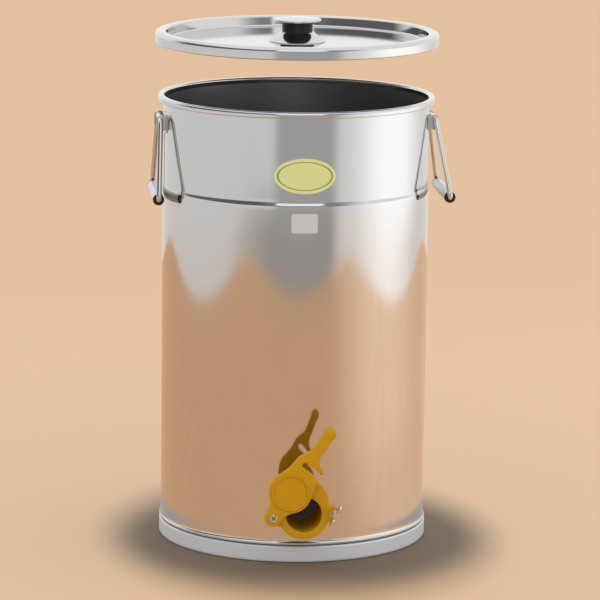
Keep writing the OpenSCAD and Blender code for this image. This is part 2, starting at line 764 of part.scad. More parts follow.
module pivot_screw() {
    nut_s = flange_s - washer_t - hex_h;
    slot_w = pan_d * drive_w_share;
    slot_l = pan_d * drive_l_share;
    depth = pan_h * drive_depth_share;
    color(zinc) difference() {
        union() {
            at_pivot(nut_s - bolt_d / 2) cylinder(d = bolt_d, h = pan_s - nut_s + bolt_d / 2);
            at_pivot(pan_s) cylinder(d = pan_d, h = pan_h);
        }
        for (turn = [0, 90]) at_pivot(pan_s + pan_h - depth) rotate([0, 0, turn + 45])
            translate([-slot_l / 2, -slot_w / 2, 0]) cube([slot_l, slot_w, depth + over]);
    }
}

module pivot_washer() { color(zinc) at_pivot(flange_s - washer_t) flat_washer(); }

module pivot_nut() { color(zinc) at_pivot(flange_s - washer_t - hex_h) hex_nut(); }

module clamp_bolt() {
    color(zinc) {
        at_clamp(flange_s - hex_h) cylinder(d = hex_d, h = hex_h, $fn = 6);
        at_clamp(flange_s) cylinder(d = bolt_d, h = bolt_end_s - flange_s);
    }
}

module clamp_washer() { color(zinc) at_clamp(clamp_washer_s) flat_washer(); }

module clamp_wing_nut() {
    reach = wing_span / 2 - wing_r;
    color(zinc) at_clamp(wing_s) rotate([0, 0, wing_turn]) difference() {
        union() {
            cylinder(d = wing_hub_d, h = wing_hub_h);
            translate([0, wing_t / 2, wing_lift]) rotate([90, 0, 0]) linear_extrude(wing_t) {
                translate([-reach, 0]) square([2 * reach, 2 * wing_r]);
                for (x = [-reach, reach]) translate([x, wing_r]) circle(r = wing_r);
            }
        }
        translate([0, 0, -over]) cylinder(r = bolt_d / 2 + run_gap, h = wing_hub_h + wing_span);
    }
}

tank_wall();
tank_floor();
foot_ring();
oval_label();
small_sticker();
left_bracket();
right_bracket();
left_bail();
right_bail();
left_grip_tube();
right_grip_tube();
left_grip_bushes();
right_grip_bushes();
lid_pan();
knob_ferrule();
knob_neck();
knob_cap();
knob_insert();
knob_screw();
knob_washer();
tap_body();
tap_outer_gasket();
tap_inner_gasket();
tap_lock_nut();
gate_plate();
pivot_screw();
pivot_washer();
pivot_nut();
clamp_bolt();
clamp_washer();
clamp_wing_nut();
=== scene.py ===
# %% [markdown]
# # Dressing a honey settling tank
#
# The imported CAD model says where every piece of the tank is and how it moves. This lesson gives those
# pieces their looks: each visible one is replaced by a smooth surface that numpy works out from a
# formula, gets a procedural material, and rides on the CAD body that it belongs to. All lengths in the
# shape cells are millimetres, in the CAD model's own frame: Z is up, the tap points along -Y and the
# handles hang on the +X and -X sides.

# %% Load the imported model
import math

import bmesh
import bpy
import numpy as np
from mathutils import Matrix, Vector
from mathutils.geometry import tessellate_polygon


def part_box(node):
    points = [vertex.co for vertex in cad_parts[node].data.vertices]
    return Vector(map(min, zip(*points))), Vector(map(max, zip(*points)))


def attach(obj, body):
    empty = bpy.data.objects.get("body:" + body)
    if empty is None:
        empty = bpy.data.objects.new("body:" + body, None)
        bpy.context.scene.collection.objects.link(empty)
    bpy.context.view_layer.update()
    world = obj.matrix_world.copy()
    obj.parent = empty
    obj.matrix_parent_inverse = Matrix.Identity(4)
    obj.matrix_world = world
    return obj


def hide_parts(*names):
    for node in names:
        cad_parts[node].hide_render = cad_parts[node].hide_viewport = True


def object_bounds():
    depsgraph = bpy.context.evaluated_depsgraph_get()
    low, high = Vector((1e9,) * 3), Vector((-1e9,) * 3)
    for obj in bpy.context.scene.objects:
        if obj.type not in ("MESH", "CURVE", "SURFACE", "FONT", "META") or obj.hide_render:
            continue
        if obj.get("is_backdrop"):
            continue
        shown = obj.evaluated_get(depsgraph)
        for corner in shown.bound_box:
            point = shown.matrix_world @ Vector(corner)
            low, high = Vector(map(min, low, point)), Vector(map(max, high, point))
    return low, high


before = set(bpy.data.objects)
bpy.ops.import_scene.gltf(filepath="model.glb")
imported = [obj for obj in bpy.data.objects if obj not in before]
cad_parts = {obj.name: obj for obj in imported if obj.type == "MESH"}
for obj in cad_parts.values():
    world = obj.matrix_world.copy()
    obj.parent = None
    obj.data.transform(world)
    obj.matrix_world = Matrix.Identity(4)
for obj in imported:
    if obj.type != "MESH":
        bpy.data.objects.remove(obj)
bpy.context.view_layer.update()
MM = 0.001
scene = bpy.context.scene
scene.view_settings.view_transform = "Standard"

# %% [markdown]
# ## Lines to build from
#
# A profile or a path is an array of flat points. `arc` and `straight` make its stretches, `join` strings
# them together, and `sheet` turns a path into the closed outline of a bent metal sheet. `rounded` softens
# corners.

# %% Helpers for flat outlines
EDGE_SHARE = 0.02
SAME_POINT = 1e-6


def join(*runs):
    """One array from several runs of points, without the repeats where two runs meet."""
    points = np.vstack([np.atleast_2d(run) for run in runs])
    step = np.linalg.norm(np.diff(points, axis=0), axis=1)
    return points[np.r_[True, step > SAME_POINT]]


def arc(centre, radius, start, end, steps=10):
    """Points at centre + radius * (cos a, sin a), for a from start to end in degrees."""
    a = np.radians(np.linspace(start, end, steps + 1))
    return np.array(centre) + radius * np.stack([np.cos(a), np.sin(a)], axis=1)


def straight(start, end, steps=4):
    """A line, with one more point close to each end so that the bends beside it don't tilt its shading."""
    s = np.linspace(0, 1, steps + 1)
    s = np.r_[0, EDGE_SHARE, s[1:-1], 1 - EDGE_SHARE, 1][:, None]
    return np.array(start) * (1 - s) + np.array(end) * s


def sheet(path, thickness):
    """The closed outline of a bent sheet: out along the left side of its path and back along the right."""
    ahead = np.vstack([path[1:], path[-1:]])
    behind = np.vstack([path[:1], path[:-1]])
    heading = (ahead - behind) / np.linalg.norm(ahead - behind, axis=1)[:, None]
    left = np.stack([-heading[:, 1], heading[:, 0]], axis=1) * thickness / 2
    return np.vstack([path + left, (path - left)[::-1]])


def rounded(corners, steps=8):
    """Points along corners (x, y, radius): an arc that touches both sides replaces each inner corner."""
    run = [np.array(corners[0][:2])]
    for before, corner, after in zip(corners, corners[1:], corners[2:]):
        p = np.array(corner[:2])
        a, b = (np.array(q[:2]) - p for q in (before, after))
        a, b = a / np.linalg.norm(a), b / np.linalg.norm(b)
        half = math.acos(np.clip(a @ b, -1, 1)) / 2
        reach = corner[2] / math.tan(half)
        t = np.linspace(0, 1, steps + 1)[:, None]
        swing = math.pi - 2 * half
        centre = p + (a + b) / np.linalg.norm(a + b) * corner[2] / math.sin(half)
        first, last = p + a * reach - centre, p + b * reach - centre
        blend = np.sin(swing * (1 - t)) * first + np.sin(swing * t) * last
        run.append(centre + blend / math.sin(swing))
    return join(*run, np.array(corners[-1][:2]))


def box_mm(node):
    """Lowest and highest corner of a CAD node, in millimetres."""
    low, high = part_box(node)
    return np.array(low) / MM, np.array(high) / MM


print("outline helpers ready")

# %% [markdown]
# ## Surfaces on grids
#
# Every surface here is a grid of points, so a shell is a pair: points and quads. `lathe` turns a profile
# round an axis, `swept` carries a circle along a path, `slab` thickens a flat outline with softened
# edges, and `film` lays an outline on the drum's wall. `piece` joins shells into one mesh, closes seams
# and poles, turns the faces outwards and hands the piece to the CAD body that it rides on.

# %% Helpers for shells and pieces
TURNS = 240
MERGE = 2e-7
SHARP_DEG = 38
FLAT_EDGE = 1.25


def grid(points, close_rows=False, close_columns=False):
    """Quads between the neighbours in a grid of points (rows x columns x 3)."""
    rows, columns = points.shape[:2]
    r = np.arange(rows if close_rows else rows - 1)
    c = np.arange(columns if close_columns else columns - 1)
    a, b = (m.ravel() for m in np.meshgrid(r, c, indexing="ij"))
    a2, b2 = (a + 1) % rows, (b + 1) % columns
    quads = np.stack([a * columns + b, a2 * columns + b, a2 * columns + b2, a * columns + b2], axis=1)
    return points.reshape(-1, 3), quads


def lathe(profile, turns=TURNS, closed=True):
    """Surface of revolution: (r cos a, r sin a, z) for each profile point (r, z) and each angle a."""
    a = np.linspace(0, 2 * np.pi, turns, endpoint=False)
    r, z = profile[:, :1], profile[:, 1:]
    points = np.stack([r * np.cos(a), r * np.sin(a), z + 0 * a], axis=2)
    return grid(points, close_rows=closed, close_columns=True)


def swept(path, radius, sides=24):
    """A round wire along a path in the XY plane: path + radius * (cos a * left of the path + sin a * Z)."""
    ahead = np.vstack([path[1:], path[-1:]]) - np.vstack([path[:1], path[:-1]])
    ahead = ahead / np.linalg.norm(ahead, axis=1)[:, None]
    ends = np.r_[0, np.full(len(path), radius), 0]
    path, ahead = (np.vstack([m[:1], m, m[-1:]]) for m in (path, ahead))
    a = np.linspace(0, 2 * np.pi, sides, endpoint=False)
    across = ends[:, None] * np.cos(a)
    x = path[:, :1] - ahead[:, 1:] * across
    y = path[:, 1:] + ahead[:, :1] * across
    return grid(np.stack([x, y, ends[:, None] * np.sin(a)], axis=2), close_columns=True)


def soft_band(low, high, soft, steps=4):
    """(inset, height) pairs of a side wall from low to high whose two edges are rounded."""
    a = np.linspace(0, np.pi / 2, steps + 1)
    lower = np.stack([soft * (1 - np.sin(a)), low + soft * (1 - np.cos(a))], axis=1)
    upper = np.stack([soft * (1 - np.cos(a)), high - soft * (1 - np.sin(a))], axis=1)
    return join(lower, upper)


def cap(outer, hole, height):
    """Triangles that fill an outline, less its hole, at one height."""
    rings = [outer] if hole is None else [outer, hole]
    triangles = tessellate_polygon([[Vector((x, y, 0)) for x, y in ring] for ring in rings])
    flat = np.vstack(rings)
    return np.column_stack([flat, np.full(len(flat), height)]), np.array(triangles)


def slab(outline, low, high, soft, hole_r=0, hole_sides=48):
    """A plate with rounded edges: the outline moved in by a soft band's insets, and filled at both ends."""
    tangent = np.roll(outline, -1, axis=0) - np.roll(outline, 1, axis=0)
    tangent = tangent / np.linalg.norm(tangent, axis=1)[:, None]
    inward = np.stack([-tangent[:, 1], tangent[:, 0]], axis=1)
    band = soft_band(low, high, soft)
    band = np.vstack([[soft * FLAT_EDGE, low], band, [soft * FLAT_EDGE, high]])
    rows = [np.column_stack([outline + inward * inset, np.full(len(outline), z)]) for inset, z in band]
    points = np.stack(rows)
    hole = arc((0, 0), hole_r, 0, 360, hole_sides)[:-1] if hole_r else None
    shells = [grid(points, close_columns=True)]
    shells += [cap(points[row, :, :2], hole, z) for row, z in ((0, low), (-1, high))]
    if hole_r:
        wall = np.stack([np.column_stack([hole, np.full(len(hole), z)]) for z in (low, high)])
        shells.append(grid(wall, close_columns=True))
    return shells


def film(outline, radius, thickness, centre_z, rings=14):
    """A film on the wall: the outline times shares from 0 to 1, on the cylinder, front and then back."""
    share = np.linspace(0, 1, rings)
    share, height = np.r_[share, share[::-1]], np.r_[np.full(rings, thickness), np.zeros(rings)]
    x, z = (share[:, None] * outline[None, :, k] for k in (0, 1))
    a = np.arcsin(x / radius)
    r = radius + height[:, None]
    return grid(np.stack([r * np.sin(a), -r * np.cos(a), centre_z + z], axis=2), close_columns=True)


def move(x=0, y=0, z=0):
    return Matrix.Translation((x, y, z))


def turn(axis, degrees):
    return Matrix.Rotation(math.radians(degrees), 4, axis)


def placed(matrix, *shells):
    """The same shells, moved and turned by a matrix."""
    m = np.array(matrix)
    return [(points @ m[:3, :3].T + m[:3, 3], faces) for points, faces in shells]


def piece(name, shells, material, body, slot, *nodes):
    """One closed mesh from shells in millimetres, that rides on a body and stands for CAD nodes."""
    bm = bmesh.new()
    for points, faces in shells:
        made = [bm.verts.new(p * MM) for p in points]
        for face in faces:
            bm.faces.new([made[i] for i in face])
    bmesh.ops.remove_doubles(bm, verts=bm.verts, dist=MERGE)
    bmesh.ops.dissolve_degenerate(bm, dist=MERGE, edges=bm.edges)
    bmesh.ops.recalc_face_normals(bm, faces=bm.faces)
    mesh = bpy.data.meshes.new(name)
    bm.to_mesh(mesh)
    bm.free()
    mesh.shade_smooth()
    mesh.set_sharp_from_angle(angle=math.radians(SHARP_DEG))
    mesh.materials.append(material)
    obj = bpy.data.objects.new(name, mesh)
    scene.collection.objects.link(obj)
    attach(obj, body)
    if nodes:
        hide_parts(*nodes)
    print(f"{name}: {len(mesh.polygons)} faces on {body}")
    return obj


print("surface helpers ready")

# %% [markdown]
# ## Shader arithmetic
#
# A `Wire` wraps one output socket of a material's node tree. Adding, subtracting, multiplying or dividing
# wires and numbers makes Math nodes, and `node` adds any other kind of node.

# %% The wire class


class Wire:
    """An output socket of a node tree that can be used like a number."""

    def __init__(self, tree, socket=None):
        self.tree, self.socket = tree, socket

    def node(self, kind, settings=(), values=(), out=0):
        """One output of a new node, which gets its settings first and then its sockets' values or wires."""
        made = self.tree.nodes.new(kind)
        for key, value in dict(settings).items():
            setattr(made, key, value)
        for key, value in dict(values).items():
            if isinstance(value, Wire):
                self.tree.links.new(value.socket, made.inputs[key])
            else:
                made.inputs[key].default_value = value
        return Wire(self.tree, made.outputs[out] if made.outputs else None)

    def math(self, operation, a, b=0.0):
        return self.node("ShaderNodeMath", {"operation": operation}, {0: a, 1: b})

    def __add__(self, other):
        return self.math("ADD", self, other)

    def __sub__(self, other):
        return self.math("SUBTRACT", self, other)

    def __rsub__(self, other):
        return self.math("SUBTRACT", other, self)

    def __mul__(self, other):
        return self.math("MULTIPLY", self, other)

    def __truediv__(self, other):
        return self.math("DIVIDE", self, other)

    __radd__, __rmul__ = __add__, __mul__


def start_material(name):
    """A new material with an empty node tree, and a wire to build it with."""
    material = bpy.data.materials.new(name)
    material.use_nodes = True
    material.node_tree.nodes.clear()
    return material, Wire(material.node_tree)


def end_material(wire, values):
    """Closes a tree with a Principled shader that takes these values."""
    shader = wire.node("ShaderNodeBsdfPrincipled", (), values)
    wire.node("ShaderNodeOutputMaterial", (), {"Surface": shader})


def grain(wire, scale, detail=3.0):
    """Noise from 0 to 1, stretched by a scale for each axis of the object's own coordinates."""
    place = wire.node("ShaderNodeTexCoord", out="Object")
    spread = wire.node("ShaderNodeVectorMath", {"operation": "MULTIPLY"}, {0: place, 1: scale})
    return wire.node("ShaderNodeTexNoise", (), {"Vector": spread, "Scale": 1.0, "Detail": detail})


def axes(wire):
    """The object's own x, y and z, in metres."""
    place = wire.node("ShaderNodeTexCoord", out="Object")
    split = wire.node("ShaderNodeSeparateXYZ", (), {0: place}).socket.node
    return [Wire(wire.tree, split.outputs[k]) for k in range(3)]


def step(wire, value, start, end):
    """0 below start, 1 above end, and a smooth climb between them."""
    return wire.node("ShaderNodeMapRange", {"interpolation_type": "SMOOTHSTEP"},
                     {"Value": value, "From Min": start, "From Max": end})


def mix(wire, factor, first, second):
    """The first colour where the factor is 0 and the second where it is 1."""
    values = {"Factor": factor, 6: first, 7: second}
    return wire.node("ShaderNodeMix", {"data_type": "RGBA"}, values, out=2)


print("shader helpers ready")

# %% [markdown]
# ## Camera
#
# A long lens from 4.3 m away, a little above the lid, turned a few degrees to the right and very slightly
# rolled.

# %% Set the camera
CAMERA_AT = Vector((-0.303, -4.333, 1.100))
CAMERA_AZIMUTH, CAMERA_PITCH, CAMERA_ROLL = (math.radians(a) for a in (4.09, -10.774, 0.70))
LENS, SENSOR, CLIP_END = 229.09, 36.0, 100.0

camera = bpy.data.objects.new("camera", bpy.data.cameras.new("camera"))
camera.data.lens, camera.data.sensor_width = LENS, SENSOR
camera.data.clip_end = CLIP_END
ahead = Vector((math.sin(CAMERA_AZIMUTH) * math.cos(CAMERA_PITCH),
                math.cos(CAMERA_AZIMUTH) * math.cos(CAMERA_PITCH), math.sin(CAMERA_PITCH)))
level = Vector((math.cos(CAMERA_AZIMUTH), -math.sin(CAMERA_AZIMUTH), 0))
above = level.cross(ahead)
right = level * math.cos(CAMERA_ROLL) + above * math.sin(CAMERA_ROLL)
upward = above * math.cos(CAMERA_ROLL) - level * math.sin(CAMERA_ROLL)
camera.matrix_world = Matrix.Translation(CAMERA_AT) @ Matrix((right, upward, -ahead)).transposed().to_4x4()
scene.collection.objects.link(camera)
scene.camera = camera
print("camera at", tuple(round(x, 3) for x in CAMERA_AT))

# %% [markdown]
# ## Floor and light
#
# Polished steel looks like its surroundings, so the studio is made of things to reflect. An even white
# sky lights a pale warm floor, with a soft shade painted round the drum's foot.

# %% Build the floor and the sky
FLOOR_SIZE = 40.0
FLOOR_COLOUR, SHADE_COLOUR = (0.776, 0.539, 0.342, 1), (0.21, 0.155, 0.105, 1)
SHADE_AT, SHADE_X, SHADE_Y, SIDE_BLUR, FRONT_BLUR = (0.008, -0.03), 0.213, 0.265, 0.18, 0.20
FLOOR_ROUGH, FLOOR_GLOSS = 0.7, 0.2
WHITE, SKY_STRENGTH = (1, 1, 1, 1), 1.0


def stage_piece(name, points, faces, material):
    """A mesh in metres that is part of the stage."""
    mesh = bpy.data.meshes.new(name)
    mesh.from_pydata([tuple(p) for p in points], [], [tuple(f) for f in faces])
    mesh.materials.append(material)
    obj = bpy.data.objects.new(name, mesh)
    scene.collection.objects.link(obj)
    obj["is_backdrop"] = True
    return obj


def square(half, z):
    """A level square round the origin."""
    return [(-half, -half, z), (half, -half, z), (half, half, z), (-half, half, z)], [(0, 1, 2, 3)]


floor_paint, wire = start_material("floor_paint")
x, y, z = axes(wire)
u, v = (x - SHADE_AT[0]) / SHADE_X, (y - SHADE_AT[1]) / SHADE_Y
reach = u * u + v * v
blur = v * v / reach * FRONT_BLUR + SIDE_BLUR
shade = step(wire, (wire.math("SQRT", reach) - 1.0) / blur, 1.0, -1.0)
end_material(wire, {"Base Color": mix(wire, shade, FLOOR_COLOUR, SHADE_COLOUR), "Roughness": FLOOR_ROUGH,
                    "Specular IOR Level": FLOOR_GLOSS})
stage_piece("floor", *square(FLOOR_SIZE / 2, 0), floor_paint)

world = bpy.data.worlds.new("sky")
world.use_nodes = True
scene.world = world
background = world.node_tree.nodes["Background"]
background.inputs["Color"].default_value = WHITE
background.inputs["Strength"].default_value = SKY_STRENGTH
print("floor and sky ready")

# %% [markdown]
# ## What the steel mirrors
#
# A tent on a rounded square stands round the drum: its wall glows softly on the left, dimly in front and
# brightly on the right. A darker valance hangs above it, with a bright window in front, and a warm,
# faintly grained glowing ground lies below it, with painted light on its right and a grey painted shade
# next to the drum's foot. Only mirror rays see these three, so apart from their faint gloss the floor and
# the plastic keep an even light. Pairs of bearings say where one glow changes into the next: degrees from
# the front, growing to the right.

# %% Build the tent
TENT_X, TENT_Y, TENT_POWER, TENT_SIDES = 1.65, 1.76, 4.6, 180
GROUND_Z, TENT_TOP, VALANCE_TOP = 0.001, 0.46, 1.6
DEGREES = 180 / math.pi
LEFT_GLOW, FRONT_GLOW, RIGHT_GLOW, RIGHT_HILL, BACK_GLOW = 0.79, 0.47, 0.86, 0.57, 0.83
FRONT, FRONT_AT_FOOT, TO_RIGHT = (-26.0, -15.0), (-70.0, -22.0), (23.0, 37.0)
HILL, BEYOND, BEYOND_AT_FOOT, TO_BACK = (33.0, 78.0), (90.0, 140.0), (80.0, 125.0), (140.0, 176.0)
FOOT_HEIGHT, FOOT_TINT, FOOT_DIM, HILL_DIM = (0.16, 0.04), (1.03, 0.96, 0.90, 1), 0.08, 0.2
VALANCE_LEFT, VALANCE_FRONT, VALANCE_BRIGHT = 0.14, 0.30, 1.0
DARK_END, BRIGHT_START, BRIGHT_BACK = (-40.0, -10.0), (28.0, 60.0), (95.0, 130.0)
WINDOW_GLOW, WINDOW_HEIGHT, WINDOW_SIDE = 0.9, (0.62, 0.72), (22.0, 17.0)
# The ground's brighter right side is painted light, and its grey tone next to the drum is painted shade.
GROUND_TONE, GROUND_RIGHT = (0.72, 0.43, 0.245, 1), (1.08, 0.74, 0.50, 1)
GROUND_SHADE, GROUND_SHADE_EDGE, FAR_EDGE, FAR_SHARE = (0.46, 0.43, 0.41, 1), (0.275, 0.235), (0.25, 1.0), 0.4
LIT, LIT_END, LIT_FALL = (18.0, 68.0), (82.0, 135.0), 0.55
PLANK_GRAIN, PLANK_DEPTH = (1.5, 16.0, 1.0), 0.16


def tent_wall(low, high):
    """An upright wall on the rounded square |x / a| ** n + |y / b| ** n = 1."""
    b = np.linspace(-np.pi, np.pi, TENT_SIDES, endpoint=False)
    total = abs(np.sin(b) / TENT_X) ** TENT_POWER + abs(np.cos(b) / TENT_Y) ** TENT_POWER
    reach = total ** (-1 / TENT_POWER)
    rows = [np.stack([reach * np.sin(b), -reach * np.cos(b), z + 0 * b], axis=1) for z in (low, high)]
    return grid(np.stack(rows), close_columns=True)


def compass(wire):
    """Bearing in degrees from the front, growing to the right, and height."""
    x, y, z = axes(wire)
    return wire.math("ARCTAN2", x, 0.0 - y) * DEGREES, z


def glow(wire, colour, strength):
    """Ends a tree with light of this colour and strength."""
    scaled = wire.node("ShaderNodeVectorMath", {"operation": "SCALE"}, {0: colour, "Scale": strength})
    light = wire.node("ShaderNodeEmission", (), {"Color": scaled})
    wire.node("ShaderNodeOutputMaterial", (), {"Surface": light})


def slid(wire, bearing, upper, lower, near_floor):
    """A step over the upper pair of bearings, which slides to the lower pair near the floor."""
    start, end = (near_floor * (b - a) + a for a, b in zip(upper, lower))
    return step(wire, bearing, start, end)


tent_cloth, wire = start_material("tent_cloth")
bearing, z = compass(wire)
near_floor = step(wire, z, *FOOT_HEIGHT)
front = slid(wire, bearing, FRONT, FRONT_AT_FOOT, near_floor)
right = step(wire, bearing, *TO_RIGHT)
beyond = slid(wire, bearing, BEYOND, BEYOND_AT_FOOT, near_floor)
hill = step(wire, bearing, *HILL) * (1.0 - beyond) * (1.0 - near_floor * HILL_DIM)
dim = front * (1.0 - right) * near_floor * FOOT_DIM
strength = front * (FRONT_GLOW - LEFT_GLOW) + right * (RIGHT_GLOW - FRONT_GLOW)
strength = strength + hill * RIGHT_HILL + LEFT_GLOW - dim
behind = step(wire, wire.math("ABSOLUTE", bearing), *TO_BACK)
strength = strength * (1.0 - behind) + behind * BACK_GLOW
glow(wire, mix(wire, near_floor, WHITE, FOOT_TINT), strength)

valance_cloth, wire = start_material("valance_cloth")
bearing, z = compass(wire)
aside = wire.math("ABSOLUTE", bearing)
front, right = step(wire, bearing, *DARK_END), step(wire, bearing, *BRIGHT_START)
behind = step(wire, aside, *BRIGHT_BACK)
window = step(wire, z, *WINDOW_HEIGHT) * step(wire, aside, *WINDOW_SIDE)
strength = front * (VALANCE_FRONT - VALANCE_LEFT) + right * (VALANCE_BRIGHT - VALANCE_FRONT)
strength = strength + window * WINDOW_GLOW + VALANCE_LEFT
glow(wire, WHITE[:3], wire.math("MAXIMUM", strength, behind * VALANCE_BRIGHT))

ground_cloth, wire = start_material("ground_cloth")
bearing, z = compass(wire)
x, y, z = axes(wire)
radius = wire.math("SQRT", x * x + y * y)
# near marks the painted shade next to the drum's foot; lit marks the painted light on the ground's right.
far, near = step(wire, radius, *FAR_EDGE), step(wire, radius, *GROUND_SHADE_EDGE)
lit = step(wire, bearing, *LIT) * (1.0 - step(wire, bearing, *LIT_END) * LIT_FALL)
lit = lit * (far * FAR_SHARE + (1.0 - FAR_SHARE)) * step(wire, bearing, *TO_BACK[::-1])
plank = grain(wire, PLANK_GRAIN) * PLANK_DEPTH + (1.0 - PLANK_DEPTH / 2)
glow(wire, mix(wire, near, mix(wire, lit, GROUND_TONE, GROUND_RIGHT), GROUND_SHADE), plank)

tent = [stage_piece("tent", *tent_wall(GROUND_Z, TENT_TOP), tent_cloth),
        stage_piece("valance", *tent_wall(TENT_TOP, VALANCE_TOP), valance_cloth),
        stage_piece("ground", *square(FLOOR_SIZE / 2, GROUND_Z), ground_cloth)]
for cloth in tent:
    cloth.visible_camera = cloth.visible_diffuse = cloth.visible_shadow = False
    cloth.visible_transmission = cloth.visible_volume_scatter = False
print("tent:", [cloth.name for cloth in tent])

# %% [markdown]
# ## Materials
#
# One for each finish in the record; the two films and the knob's cap get theirs where they are made. The
# polished steel is rougher on the inside of the drum and darkened there by painted shade, which the
# material finds by comparing a point's radius with the middle of the sheet, here in metres.

# %% Mix the steels
# The inside colour is the steel darkened by painted shade.
STEEL, STEEL_INSIDE_SHADE = (0.66, 0.66, 0.655, 1), (0.37, 0.37, 0.37, 1)
SHEET_MIDDLE, BAND_STEP, SHEET_SKIN = 0.1526, 0.001, 0.0001
SHOULDER_HEIGHT, RIM_HEIGHT = (0.4065, 0.4135), (0.508, 0.506)
POLISH_GRAIN, POLISH_ROUGH, POLISH_SPREAD, INSIDE_ROUGH = (260, 260, 14), 0.055, 0.05, 0.3
SATIN_DARK, SATIN_LIGHT, SATIN_METAL = (0.66, 0.69, 0.73, 1), (0.76, 0.79, 0.83, 1), 0.5
SATIN_GRAIN, SATIN_ROUGH, SATIN_SPREAD = (30, 30, 2600), 0.34, 0.12

polished_steel, wire = start_material("polished_steel")
x, y, z = axes(wire)
radius = wire.math("SQRT", x * x + y * y)
sheet_middle = SHEET_MIDDLE - step(wire, z, *SHOULDER_HEIGHT) * BAND_STEP
inside = step(wire, radius - sheet_middle, SHEET_SKIN, -SHEET_SKIN) * step(wire, z, *RIM_HEIGHT)
roughness = grain(wire, POLISH_GRAIN) * POLISH_SPREAD + inside * INSIDE_ROUGH + POLISH_ROUGH
# Inside the drum the steel's colour is darkened: painted shade.
end_material(wire, {"Base Color": mix(wire, inside, STEEL, STEEL_INSIDE_SHADE), "Metallic": 1.0,
                    "Roughness": roughness})

satin_steel, wire = start_material("satin_steel")
streaks = grain(wire, SATIN_GRAIN)
end_material(wire, {"Base Color": mix(wire, streaks, SATIN_DARK, SATIN_LIGHT), "Metallic": SATIN_METAL,
                    "Roughness": streaks * SATIN_SPREAD + SATIN_ROUGH})
print("steels:", polished_steel.name, satin_steel.name)

# %% Mix the plastics and the small metals
BLACK, YELLOW_DARK, YELLOW_LIGHT = (0.008, 0.008, 0.009, 1), (0.55, 0.29, 0.001, 1), (0.62, 0.335, 0.002, 1)
YELLOW_GRAIN, YELLOW_ROUGH, YELLOW_GLOSS = (60, 60, 60), 0.33, 0.18


def plain_finish(name, colour, metallic, rough, spread, fine):
    """A material of one colour whose roughness goes up by as much as a spread with a fine, even grain."""
    material, wire = start_material(name)
    end_material(wire, {"Base Color": colour, "Metallic": metallic,
                        "Roughness": grain(wire, (fine, fine, fine)) * spread + rough})
    return material


bright_fittings = plain_finish("bright_fittings", (0.68, 0.68, 0.67, 1), metallic=1.0, rough=0.14,
                               spread=0.08, fine=400)
black_plastic = plain_finish("black_plastic", BLACK, metallic=0.0, rough=0.3, spread=0.1, fine=500)
seal_rubber = plain_finish("seal_rubber", (0.05, 0.05, 0.05, 1), metallic=0.0, rough=0.6,
                           spread=0.1, fine=300)
brass = plain_finish("brass", (0.75, 0.55, 0.22, 1), metallic=1.0, rough=0.22, spread=0.1, fine=300)

yellow_plastic, wire = start_material("yellow_plastic")
end_material(wire, {"Base Color": mix(wire, grain(wire, YELLOW_GRAIN), YELLOW_DARK, YELLOW_LIGHT),
                    "Roughness": YELLOW_ROUGH, "Specular IOR Level": YELLOW_GLOSS})
print("materials:", len(bpy.data.materials))

# %% [markdown]
# ## The drum
#
# The wall is one bent sheet turned round the axis: seam bead, lower wall, shoulder, upper band and rolled
# rim. The seam fades into the wall as an exponential, the shoulder is a hyperbolic tangent, and the roll
# is a superellipse with a squarer lower corner. Where the tap passes through, a window is left out of the
# grid and filled with rings that change from the window's four sides into the round hole, on both faces
# of the sheet.

# %% Tank wall with its tap hole
SHEET = 0.8
wall_low, wall_high = box_mm("tank_wall")
tank_h, seam_z = wall_high[2], wall_low[2]
wall_r, band_r = 153.0, 152.0
wall_mid, band_mid = wall_r - SHEET / 2, band_r - SHEET / 2
roll_mid, ROLL_TOP_POWER, ROLL_FOOT_POWER = 3.2, 3.0, 9.0
ROLL_START, ROLL_END, ROLL_STEPS = 180, -120, 36
shoulder_z, SHOULDER_W, SHOULDER_REACH, SHOULDER_POINTS = tank_h - 104.0, 2.1, 4, 49
seam_h, seam_out, seam_curl, SEAM_FADE, SEAM_SHARE, SEAM_POINTS = 11.0, 1.8, 1.54, 1.5, 0.2, 25
seam_ease = seam_z + seam_h * SEAM_SHARE
tap_z, tap_turn = 66.5, 3.4
hole_r, window_half = 24.25, 34.0
WINDOW_STEPS, WINDOW_ROWS, RINGS = 9, 13, 7
SEAM_GAP, SHOULDER_GAP, PLAIN_FROM, PLAIN_ROWS = 0.5, 2, 120, 14

seam = arc((wall_mid + seam_out - seam_curl, seam_z + SHEET / 2 + seam_curl), seam_curl, -90, 0)
rise = (seam_z + seam_h - seam_ease) * np.linspace(0, 1, SEAM_POINTS) ** 2
lead_in = np.stack([wall_mid + seam_out * np.exp(-rise / SEAM_FADE), seam_ease + rise], axis=1)
s = np.linspace(-SHOULDER_REACH, SHOULDER_REACH, SHOULDER_POINTS)
shoulder_r = (wall_mid + band_mid) / 2 - (wall_mid - band_mid) / 2 * np.tanh(s)
shoulder = np.stack([shoulder_r, shoulder_z + SHOULDER_W * s], axis=1)
heights = np.r_[seam_z + seam_h + SEAM_GAP,
                np.linspace(tap_z - window_half, tap_z + window_half, WINDOW_ROWS),
                np.linspace(PLAIN_FROM, shoulder[0, 1] - SHOULDER_GAP, PLAIN_ROWS)]
plain = np.stack([np.full(len(heights), wall_mid), heights], axis=1)
around = arc((0, 0), 1, ROLL_START, ROLL_END, ROLL_STEPS)
power = np.where(around[:, 1:] > 0, ROLL_TOP_POWER, ROLL_FOOT_POWER)
roll = np.sign(around) * abs(around) ** (2 / power) * roll_mid
roll = roll + (band_mid + roll_mid, tank_h - SHEET / 2 - roll_mid)
path = join(seam, lead_in, plain, shoulder, straight(shoulder[-1], roll[0], 8), roll)

